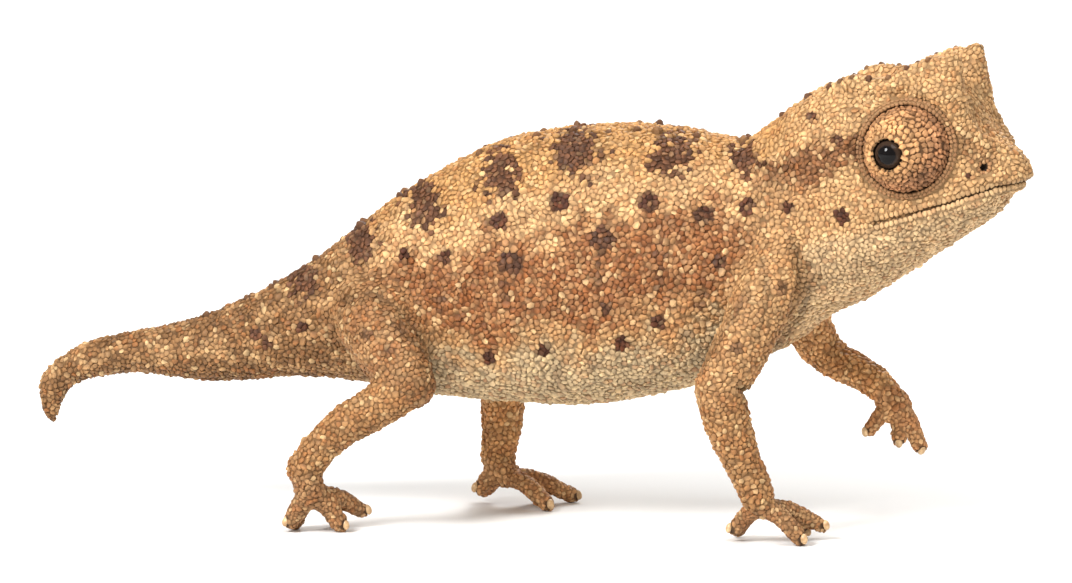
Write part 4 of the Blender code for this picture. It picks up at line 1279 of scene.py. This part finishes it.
def scale_mesh(scales, outlines, chosen):
    """Vertices, faces, colours and UVs of the chosen scales, one closed tilted plate each, with
    painted light and shade in the colours.
    """
    places, normals, heights, colours, uvs, tilts = (part[chosen] for part in scales)
    reach, along, across = (part[chosen] for part in outlines)
    count = len(places)
    angles = round_angles(SCALE_SIDES)
    stretch = 1.0 + STRETCH * tilts[:, :1]
    flat_x = reach * np.cos(angles) * stretch
    flat_y = reach * np.sin(angles) / stretch ** 0.6
    lean = tilts[:, :1] * np.cos(angles - tilts[:, 1:2])
    rings, shades, flats = [], [], []
    for share, lift, shade in SCALE_LEVELS:
        offset = flat_x[:, :, None] * along[:, None] + flat_y[:, :, None] * across[:, None]
        offset = offset * (1.0 - tilts[:, 2:] * max(lift, 0.0))[:, :, None]
        rise = heights[:, None] * lift * (1.0 + lean * share * (lift > 0.0))
        rings.append(places[:, None] + offset * share + normals[:, None] * rise[:, :, None])
        shades.append(np.full((count, SCALE_SIDES), shade))
        flats.append(np.stack([flat_x, flat_y], axis=2) * share / reach.max(axis=1)[:, None, None])
    top = places + normals * heights[:, None]
    verts = np.concatenate(rings + [top[:, None]], axis=1)
    verts[:, :, 2] = np.maximum(verts[:, :, 2], 0.002)
    # Painted light and shade: a scale is lighter on the side its tilt raises, darker on the side it
    # lowers, darker at its root and lighter at its tip
    shades = [shade * (1.0 + EDGE_SHADE * lean) for shade in shades]
    shade = np.concatenate(shades + [np.full((count, 1), SCALE_TOP_SHADE)], axis=1)
    flat = np.concatenate(flats + [np.zeros((count, 1, 2))], axis=1)
    faces = one_scale_faces()
    each = verts.shape[1]
    all_faces = []
    for start in range(0, count * each, each):
        all_faces.extend([tuple(index + start for index in face) for face in faces])
    vert_colours = colours[:, None] * shade[:, :, None]
    vert_uvs = uvs[:, None] + flat * PATCH
    return verts.reshape(-1, 3), all_faces, vert_colours.reshape(-1, 3), vert_uvs.reshape(-1, 2)


def scale_tilts(count, draw):
    """How much and which way the top of each scale tilts."""
    tilts = draw.uniform(0.25, 1.10, count), draw.uniform(0.0, 6.28, count)
    return np.column_stack([*tilts, np.zeros(count)])


def one_scale_faces():
    """Faces of one scale: bands between its rings, a fan on top and a flat root."""
    rings = len(SCALE_LEVELS)
    faces = bands(rings, SCALE_SIDES, flipped=True)
    top = (rings - 1) * SCALE_SIDES
    for j in range(SCALE_SIDES):
        faces.append((top + j, rings * SCALE_SIDES, top + (j + 1) % SCALE_SIDES))
    return faces + [tuple(range(SCALE_SIDES))]


def scale_object(name, data):
    """An object of scales with its colours and its OFBake map."""
    verts, faces, colours, uvs = data
    obj = mesh_object(name, verts, faces)
    set_colours(obj.data, np.clip(colours, 0.0, 1.0))
    layer = obj.data.uv_layers.new(name="OFBake")
    corners = np.empty(len(obj.data.loops), dtype=np.int32)
    obj.data.loops.foreach_get("vertex_index", corners)
    layer.data.foreach_set("uv", np.clip(uvs, 0.0, 1.0)[corners].astype(np.float32).ravel())
    return obj


def varied(colours, dark, draw):
    """Colours of scales that differ one from the next."""
    count = len(colours)
    colours = colours * (1.0 + (0.32 + 0.45 * dark) * (draw.random(count) - 0.5))[:, None]
    warm = (draw.random(count) < 0.26) * (1.0 - dark) * draw.random(count)
    colours = mix(colours, SCALE_WARM, 0.55 * warm)
    light = (draw.random(count) < 0.18) * (1.0 - 0.8 * dark) * draw.random(count)
    return mix(colours, SCALE_LIGHT, 0.40 * light)


def free_places(surface, draw, fixed):
    """Places for plain scales, clear of the sockets, the soles and what is set already."""
    places = sample_surface(surface, draw, SCALES_TRIED)
    radii = plain_radii(places) * np.where(draw.random(len(places)) < BIG_SCALE_SHARE, 1.32, 1.0)
    radii = radii * draw.uniform(0.76, 1.20, len(places))
    out, radius = eye_polar(places)
    in_ring = (places[:, 0] > HEAD_START) & (out > 0.0) & (radius < ORBIT_RADIUS + 0.15)
    index = np.nonzero(~in_ring & (places[:, 2] > 2.0 * SOLE_LIFT))[0]
    fixed_places, fixed_radii, _, _ = fixed.gather()
    both = np.vstack([fixed_places, places[index]])
    both_radii = np.concatenate([fixed_radii, radii[index]])
    kept = spread_out(both, both_radii, len(fixed_places))
    chosen = index[kept]
    return places[chosen], radii[chosen]


def plain_radii(places):
    """The radius of a plain scale at each place."""
    membership, parts, _, _, _ = limb_share(places)
    head = ramp(places[:, 0], 7.0, 8.6)
    tail = ramp(places[:, 0], -4.0, -9.0)
    radii = BODY_RADIUS + (HEAD_RADIUS - BODY_RADIUS) * np.maximum(head, tail)
    radii = np.where(membership > ON_LIMB, LIMB_RADIUS, radii)
    return np.where((membership > ON_LIMB) & (parts >= FIRST_TOE), TOE_RADIUS, radii)


def make_scales(surface, mouth):
    """The coat: tiles over the trunk, head and limbs, in pieces for parts of the animal."""
    draw = np.random.default_rng(SCALE_SEED)
    tree = BVHTree.FromPolygons(surface.verts.tolist(), surface.faces)
    fixed = fixed_seeds(mouth, draw)
    free, free_radii = free_places(surface, draw, fixed)
    heights = free_radii * draw.uniform(0.46, 0.92, len(free))
    fixed.add(free, free_radii, heights, Seeds.PLAIN)
    places, radii, heights, kinds = fixed.gather()
    places, _ = onto_surface(places, surface, tree)
    places = relaxed(places, radii, kinds != Seeds.PLAIN, surface, tree)
    places, normals = onto_surface(places, surface, tree)
    outlines = tile_outlines(places, normals, radii, nearest_others(places, 14), draw)
    colours, dark = coat_colours(places)
    # Painted shade in the folds darkens the scales
    colours = varied(colours, dark, draw) * fold_shade(places)[:, None]
    colours = special_colours(colours, kinds, draw)
    # Painted shade darkens the scales along the mouth line
    colours = mix(colours, GROOVE_SHADE, 0.55 * np.exp(-(distance_to_path(places, mouth) / 0.08) ** 2))
    membership, parts, names, share, bone = limb_share(places)
    limb = membership > ON_LIMB
    flatter = limb & (parts >= FIRST_TOE) & (kinds == Seeds.PLAIN)
    heights = np.where(flatter, 0.7 * heights, heights)
    uvs = trunk_uvs(places)
    uvs[limb] = limb_uvs(places[limb], bone[limb], share[limb])
    tilts = scale_tilts(len(places), draw)
    tilts[kinds != Seeds.PLAIN, 0] *= 0.3
    tilts[kinds == Seeds.TUBERCLE, 2] = 0.50
    scales = (places, normals, heights, colours, uvs, tilts)
    bare = (nearest_gap(places, claw_beds()) < CLAW_BED) | (nostril_gap(places) < 0.13)
    shown = (kinds != Seeds.EMPTY) & ~bare
    head = places[:, 0] > HEAD_PIECES_START
    tail = places[:, 0] <= TAIL_PIECES_END
    groups = {
        "coat_head": shown & ~limb & head,
        "coat_torso": shown & ~limb & ~head & ~tail,
        "coat_tail": shown & ~limb & tail,
    }
    for name in LIMBS:
        groups["coat_" + name] = shown & limb & (names == name)
    pieces = []
    for name, chosen in groups.items():
        index = np.nonzero(chosen)[0]
        index = index[np.argsort(places[index, 0], kind="stable")]
        chunks = np.array_split(index, max(1, math.ceil(len(index) / LARGEST_PIECE)))
        for number, chunk in enumerate(chunks, 1):
            pieces.append(scale_object(f"{name}_{number}", scale_mesh(scales, outlines, chunk)))
    return pieces


def special_colours(colours, kinds, draw):
    """Browner tubercles, and the tan of lips, eye rings, beads and nostril rims."""
    share = draw.uniform(0.6, 1.0, len(kinds))
    return painted(
        colours,
        (TUBERCLE_BROWN, (kinds == Seeds.TUBERCLE) * share),
        (LIP_TAN, (kinds == Seeds.LIP) * 0.3 * share),
        (SCALE_LIGHT, (kinds == Seeds.BEAD) * 0.4 * share),
        (RIM_TAN, (kinds == Seeds.RIM) * 0.8),
        (TURRET_BROWN, (kinds == Seeds.NOSTRIL) * 0.55),
    )


def turret_seeds(draw):
    """Rings of fine scales on a turret, as distance out, radius, angle, slope and size."""
    last = len(TURRET_PROFILE) - 4.4
    dense = curve_values(TURRET_PROFILE, np.linspace(0.6, last, 400))
    lengths = lengths_along(dense)

    def profile(at):
        """Distance out and radius at a length along the profile."""
        return np.array([np.interp(at, lengths, dense[:, i]) for i in (0, 1)])

    rows = []
    at = lengths[-1] - 0.05
    number = 0
    while at > 0.0:
        distance, radius = profile(at)
        slope = profile(at + 0.03) - profile(at - 0.03)
        slope /= max(np.linalg.norm(slope), 1e-9)
        count = int(math.tau * radius / (1.32 * TURRET_ROW))
        start = draw.random()
        for k in range(count):
            angle = math.tau * (k + start + draw.uniform(-0.34, 0.34)) / count
            shift = draw.uniform(-0.18, 0.18) * TURRET_ROW
            rows.append((distance + shift * slope[0], radius + shift * slope[1], angle,
                         slope[0], slope[1], TURRET_ROW * draw.uniform(0.48, 0.70)))
        at -= TURRET_ROW * (0.92 if number % 2 else 1.34)
        number += 1
    return np.array(rows)


def turret_scales(side, word):
    """Packed scales in rings from the lids' edge down to the ring of skin."""
    draw = np.random.default_rng(SCALE_SEED + (1 if side < 0.0 else 2))
    distance, radius, angle, slope_out, slope_across, size = turret_seeds(draw).T
    places = turret_places(distance, radius, angle, side)
    inward = turret_places(distance + 0.02 * slope_out, radius + 0.02 * slope_across, angle, side)
    onward = turret_places(distance, radius, angle + 0.02, side)
    normals = unit_rows(np.cross(inward - places, onward - places))
    middle = turret_places([0.2], [0.0], [0.0], side)[0]
    normals *= np.sign(((places - middle) * normals).sum(axis=1))[:, None]
    places = places - normals * TURRET_DEPTH
    outlines = tile_outlines(places, normals, size, nearest_others(places, 12), draw)
    # Browner towards the rim, the front and the bottom of the turret
    share = ramp(radius + 0.08 * np.cos(angle) - 0.14 * np.sin(angle), 0.62, 1.12)
    colours = TURRET_LIGHT + (TURRET_BROWN - TURRET_LIGHT) * share[:, None]
    colours = colours * (1.0 + 0.5 * wobble(places, 2.4, 6))[:, None]
    colours = colours * (1.0 + 0.40 * (draw.random(len(places)) - 0.5))[:, None]
    uvs = 0.5 + (0.45 * radius / 1.2)[:, None] * np.column_stack([np.cos(angle), np.sin(angle)])
    scales = (places, normals, size * 0.80, colours, uvs, scale_tilts(len(places), draw))
    data = scale_mesh(scales, outlines, np.arange(len(places)))
    return scale_object("coat_" + word + "_turret", data)


def spread_out(places, radii, first):
    """Indexes past the first ones of places that keep clear of all that were kept before."""
    cell = 2.0 * float(radii.max())
    keys = np.floor(places / cell).astype(int).tolist()
    grid = {}
    kept = []
    around = [(i, j, k) for i in (-1, 0, 1) for j in (-1, 0, 1) for k in (-1, 0, 1)]
    for index, ((x, y, z), radius, (kx, ky, kz)) in enumerate(
            zip(places.tolist(), radii.tolist(), keys)):
        free = True
        if index >= first:
            for i, j, k in around:
                for ox, oy, oz, other in grid.get((kx + i, ky + j, kz + k), ()):
                    limit = 0.90 * (radius + other)
                    if (ox - x) ** 2 + (oy - y) ** 2 + (oz - z) ** 2 < limit * limit:
                        free = False
                        break
                if not free:
                    break
        if free:
            grid.setdefault((kx, ky, kz), []).append((x, y, z, radius))
            if index >= first:
                kept.append(index - first)
    return np.array(kept)


def trunk_uvs(points):
    """The unwrap of the trunk: along it, and round it from the belly."""
    position, _, turn = trunk_place(points)
    return np.column_stack([0.02 + 0.96 * position / LAST_SECTION,
                            0.02 + 0.96 * (turn / math.tau + 0.5)])


def limb_uvs(points, bone, share):
    """The unwrap of the limbs: a strip for each part, along it and round it."""
    uvs = np.empty((len(points), 2))
    for i, (_, part, a, b, _, _) in enumerate(BONES):
        chosen = bone == i
        if not chosen.any():
            continue
        same = [k for k, other in enumerate(BONES) if other[:2] == BONES[i][:2]]
        along = (same.index(i) + share[chosen]) / len(same)
        direction = (b - a) / np.linalg.norm(b - a)
        side = np.cross(direction, (0.31, 0.2, 0.93))
        side /= np.linalg.norm(side)
        up = np.cross(direction, side)
        rel = points[chosen] - a
        angle = np.arctan2(rel @ up, rel @ side) / math.tau + 0.5
        strip = BONE_PARTS.index(part)
        uvs[chosen, 0] = 0.02 + 0.96 * along
        uvs[chosen, 1] = (strip + 0.05 + 0.9 * angle) / len(BONE_PARTS)
    return uvs


def turret_places(distances, radii, angles, side):
    """Points of an eye's turned form, leaning with its ring and drawn back to its pupil."""
    distances, radii, angles = np.broadcast_arrays(distances, radii, angles)
    inner = ramp(radii, 1.16, 0.46)
    ahead = radii * np.cos(angles)
    up = radii * np.sin(angles)
    lean = (orbit_plane(ahead, up) - ORBIT_RIM_Y) * (1.0 - inner)
    return bent(np.column_stack([
        EYE_CENTRE[0] + ahead + PUPIL_SHIFT * inner,
        side * (EYE_CENTRE[1] + distances + lean),
        EYE_CENTRE[2] + up - PUPIL_DROP * inner,
    ]))


def make_turret(side, word):
    """The cone of fused lids with its rings of fine scales."""
    steps, around = 70, 72
    samples = curve_values(TURRET_PROFILE, np.linspace(0.0, len(TURRET_PROFILE) - 1.0, steps))
    distances, radii = samples.T
    lowered = TURRET_DEPTH * ramp(radii, 0.46, 0.54)
    brown = ramp(radii, 0.50, 1.0)
    edge = distances.argmax()
    rings, colours = [], []
    for i in range(steps):
        rings.append(turret_places(distances[i] - 0.6 * lowered[i], radii[i] - lowered[i],
                                   round_angles(around), side))
        # Painted shade: the turret's skin shows dark between its scales, less dark near the opening
        # and darkest inside it
        shade = 0.34 if radii[i] > 0.52 else 0.55
        if i > edge:
            shade = 0.10
        colour = TURRET_LIGHT + (TURRET_BROWN - TURRET_LIGHT) * brown[i]
        colours.extend([colour * shade] * around)
    ends = [turret_places([distances[i]], [0.0], [0.0], side)[0] for i in (0, -1)]
    verts, faces = closed_grid(rings, *ends)
    # Painted shade at the turret's closed ends, deep in the socket and inside the opening
    colours.extend([TURRET_BROWN * 0.3, GROOVE_SHADE])
    turret = smooth_object(word + "_turret_skin", verts, faces, np.array(colours))
    return turret, turret_scales(side, word)


def make_eyeball(side, word):
    """The glossy ball in the opening of a turret, with its middle and the way it faces."""
    rings = []
    steps, around = 40, 56
    turns = math.tau * np.arange(around) / around
    for angle in np.linspace(-0.9, math.pi / 2.0, steps, endpoint=False):
        bulge = 0.03 * max(0.0, math.sin(angle)) ** 6
        distance = EYEBALL_DISTANCE + EYEBALL_RADIUS * math.sin(angle) + bulge
        rings.append(turret_places(distance, EYEBALL_RADIUS * math.cos(angle), turns, side))
    ends = turret_places([EYEBALL_DISTANCE - 0.35, EYEBALL_DISTANCE + EYEBALL_RADIUS + 0.03],
                         [0.0, 0.0], [0.0, 0.0], side)
    verts, faces = closed_grid(rings, *ends)
    obj = smooth_object(word + "_eye", verts, faces)
    out = (ends[1] - ends[0]) / np.linalg.norm(ends[1] - ends[0])
    return obj, (ends[0], out)


def claw_frame(name, palm, tip):
    """The middle of a claw on the end of a toe and the way it faces."""
    outward = -0.95 if name.startswith("right") else -0.60
    facing = toe_direction(palm, tip) + (0.0, outward, 0.20)
    facing /= np.linalg.norm(facing)
    return np.array(tip) + facing * (TOE_PAD_RADIUS - 0.085), facing


def claw_beds():
    """The middles of all claws."""
    return np.array([claw_frame(name, limb["palm"], tip)[0]
                     for name, limb in LIMBS.items() for tip in limb["toes"]])


def claw_points(name, palm, tip):
    """Rings of one small domed claw, an oval with a blunt point."""
    centre, facing = claw_frame(name, palm, tip)
    side = np.cross(facing, (0.0, 0.0, 1.0))
    side /= max(np.linalg.norm(side), 1e-6)
    up = np.cross(side, facing)
    rings = []
    steps, around = 9, 18
    angles = round_angles(around)
    for t in np.linspace(0.0, 1.0, steps):
        taper = math.cos(t * math.pi / 2.0 * 0.94)
        width, height = 0.105 * taper, 0.145 * taper
        middle = centre + facing * (0.11 * math.sin(t * math.pi / 2.0) - 0.02) - up * 0.03 * t
        rings.append(middle + side * (width * np.cos(angles))[:, None]
                     + up * (height * np.sin(angles))[:, None])
    return closed_grid(rings, centre - facing * 0.06, middle + facing * 0.004)


def nearest_gap(points, places):
    """Each point's distance to the nearest of some places."""
    nearest = np.full(len(points), 9.0)
    for place in places:
        nearest = np.minimum(nearest, np.linalg.norm(points - place, axis=1))
    return nearest


def make_claws():
    """The five claws of each hand and foot."""
    claws = []
    for name, limb in LIMBS.items():
        parts = [claw_points(name, limb["palm"], tip) for tip in limb["toes"]]
        verts, faces = join_parts(parts)
        verts[:, 2] = np.maximum(verts[:, 2], 0.01)
        claws.append(smooth_object("claws_" + name, verts, faces))
    return claws


def new_material(name, roughness):
    """An empty node material and its shader."""
    material = bpy.data.materials.new(name)
    material.use_nodes = True
    shader = material.node_tree.nodes["Principled BSDF"]
    shader.inputs["Roughness"].default_value = roughness
    return material, material.node_tree, shader


def plug(tree, node, inputs):
    """Sets a node's inputs, each to a value or to the output that feeds it."""
    for key, value in inputs.items():
        if isinstance(value, bpy.types.NodeSocket):
            tree.links.new(value, node.inputs[key])
        else:
            node.inputs[key].default_value = value


def add_node(tree, kind, output, inputs, **settings):
    """A new node's output, after its settings and inputs are set."""
    node = tree.nodes.new("ShaderNode" + kind)
    for key, value in settings.items():
        setattr(node, key, value)
    plug(tree, node, inputs)
    return node.outputs[output]


def colour_ramp(tree, value, stops):
    """The colour that a ramp of (position, colour) stops gives for a value."""
    colour = add_node(tree, "ValToRGB", "Color", {"Fac": value})
    elements = colour.node.color_ramp.elements
    for index, (position, stop_colour) in enumerate(stops):
        stop = elements[index] if index < 2 else elements.new(position)
        stop.position = position
        stop.color = (*stop_colour, 1.0)
    return colour


def skin_material(name, roughness, grain_scale, grain_depth):
    """Skin or scales: the stored colour, mottled, with a fine grain."""
    material, tree, shader = new_material(name, roughness)
    place = add_node(tree, "TexCoord", "Object", {})
    colour = add_node(tree, "Attribute", "Color", {}, attribute_name="coat")
    mottle = add_node(tree, "TexNoise", "Fac", {"Vector": place, "Scale": 2600.0, "Detail": 4.0})
    spread = add_node(tree, "MapRange", "Result", {
        "Value": mottle, "From Min": 0.3, "From Max": 0.7, "To Min": 0.80, "To Max": 1.14})
    tinted = add_node(tree, "VectorMath", "Vector", {0: colour, "Scale": spread},
                      operation="SCALE")
    grain = add_node(tree, "TexNoise", "Fac", {
        "Vector": place, "Scale": grain_scale, "Detail": 3.0})
    bump = add_node(tree, "Bump", "Normal", {
        "Height": grain, "Strength": 0.5, "Distance": grain_depth})
    rough = add_node(tree, "MapRange", "Result", {
        "Value": grain, "To Min": roughness - 0.10, "To Max": roughness + 0.12})
    plug(tree, shader, {"Base Color": tinted, "Normal": bump, "Roughness": rough,
                        "Specular IOR Level": 0.26})
    return material


def eye_material(axes):
    """The eye: a black pupil in a dark brown iris with fine spokes, wet and glossy."""
    centre, out = axes
    material, tree, shader = new_material("eye_gloss", 0.0)
    place = add_node(tree, "TexCoord", "Object", {})
    shifted = add_node(tree, "VectorMath", "Vector", {0: place, 1: tuple(centre * MM)},
                       operation="SUBTRACT")
    across = add_node(tree, "VectorMath", "Vector", {0: shifted, 1: tuple(out)},
                      operation="CROSS_PRODUCT")
    radius = add_node(tree, "VectorMath", "Value", {0: across}, operation="LENGTH")
    scaled = add_node(tree, "Math", "Value", {0: radius, 1: 1.0 / (EYE_RAMP_RADIUS * MM)},
                      operation="MULTIPLY")
    spokes = add_node(tree, "TexNoise", "Fac", {"Vector": place, "Scale": 9000.0})
    jitter = add_node(tree, "Math", "Value", {0: spokes, 1: 0.12, 2: -0.06},
                      operation="MULTIPLY_ADD")
    total = add_node(tree, "Math", "Value", {0: scaled, 1: jitter}, operation="ADD")
    plug(tree, shader, {"Base Color": colour_ramp(tree, total, EYE_STOPS),
                        "Specular IOR Level": 0.16})
    return material


def claw_material():
    """Horn: pale at the middle and browner in streaks."""
    material, tree, shader = new_material("claw_horn", 0.35)
    place = add_node(tree, "TexCoord", "Object", {})
    streaks = add_node(tree, "TexNoise", "Fac", {"Vector": place, "Scale": 7000.0})
    stops = ((0.3, linear(158, 120, 80)), (0.7, linear(224, 188, 140)))
    plug(tree, shader, {"Base Color": colour_ramp(tree, streaks, stops)})
    return material


def make_stage():
    """A pale floor and soft lights."""
    bpy.ops.mesh.primitive_plane_add(size=FLOOR_SIZE, location=(0.0, 0.0, 0.0))
    floor = bpy.context.object
    floor.name = "floor"
    material, _, shader = new_material("floor_pale", 0.85)
    shader.inputs["Base Color"].default_value = (0.86, 0.86, 0.85, 1.0)
    floor.data.materials.append(material)
    bpy.context.scene.view_settings.view_transform = "Standard"
    world = bpy.data.worlds.new("studio")
    world.use_nodes = True
    background = world.node_tree.nodes["Background"]
    background.inputs["Color"].default_value = (1.0, 0.99, 0.97, 1.0)
    background.inputs["Strength"].default_value = 0.57
    bpy.context.scene.world = world
    for name, place, size, power in LAMPS:
        lamp = bpy.data.lights.new(name, "AREA")
        lamp.shape = "DISK"
        lamp.size = size
        lamp.energy = power
        obj = bpy.data.objects.new(name, lamp)
        obj.location = place
        aim = Vector(LAMP_TARGET) - Vector(place)
        obj.rotation_euler = aim.to_track_quat("-Z", "Y").to_euler()
        bpy.context.scene.collection.objects.link(obj)


def make_camera():
    """A camera without perspective at the photo's angle, framing what the photo frames."""
    turn, lift = VIEW_TURN, VIEW_LIFT
    right = Vector((math.cos(turn), math.sin(turn), 0.0))
    back = Vector((math.sin(turn) * math.cos(lift), -math.cos(turn) * math.cos(lift),
                   math.sin(lift)))
    up = back.cross(right)
    middle_right = (IMAGE_WIDTH / 2.0 - ORIGIN_PIXEL[0]) * MM_PER_PIXEL
    middle_up = (ORIGIN_PIXEL[1] - IMAGE_HEIGHT / 2.0) * MM_PER_PIXEL
    target = right * middle_right + up * middle_up
    data = bpy.data.cameras.new("camera")
    data.type = "ORTHO"
    data.ortho_scale = IMAGE_WIDTH * MM_PER_PIXEL * MM
    data.clip_start = 0.001
    data.clip_end = 5.0
    camera = bpy.data.objects.new("camera", data)
    camera.location = (target + back * CAMERA_DISTANCE) * MM
    camera.rotation_euler = back.to_track_quat("Z", "Y").to_euler()
    bpy.context.scene.collection.objects.link(camera)
    bpy.context.scene.camera = camera


def main():
    """Makes every piece and gives it its material, body and replaced nodes."""
    make_camera()
    mouth = mouth_points()
    surface = make_surface(mouth)
    mouth = set_back(mouth)
    skin = make_skin(surface, mouth)
    skin.data.materials.append(skin_material("skin_hide", 0.72, 9000.0, 0.00003))
    scale_cover = skin_material("scale_horn", 0.58, 14000.0, 0.000015)
    coats = make_scales(surface, mouth)
    for side, word in ((-1.0, "right"), (1.0, "left")):
        turret, fine_scales = make_turret(side, word)
        turret.data.materials.append(skin.data.materials[0])
        coats.append(fine_scales)
        eye, axes = make_eyeball(side, word)
        eye.data.materials.append(eye_material(axes))
        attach(turret, "root")
        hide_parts(word + "_eye_turret")
        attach(eye, "root")
        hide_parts(word + "_eyeball")
    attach(skin, "root")
    flesh = ["head", "neck", "torso", "tail_base", "tail_middle", "tail_tip"]
    for limb in LIMBS.values():
        flesh.extend(limb["nodes"])
    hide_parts(*flesh)
    for coat in coats:
        coat.data.materials.append(scale_cover)
        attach(coat, "root")
    horn = claw_material()
    for claws in make_claws():
        claws.data.materials.append(horn)
        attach(claws, "root")
    make_stage()


main()
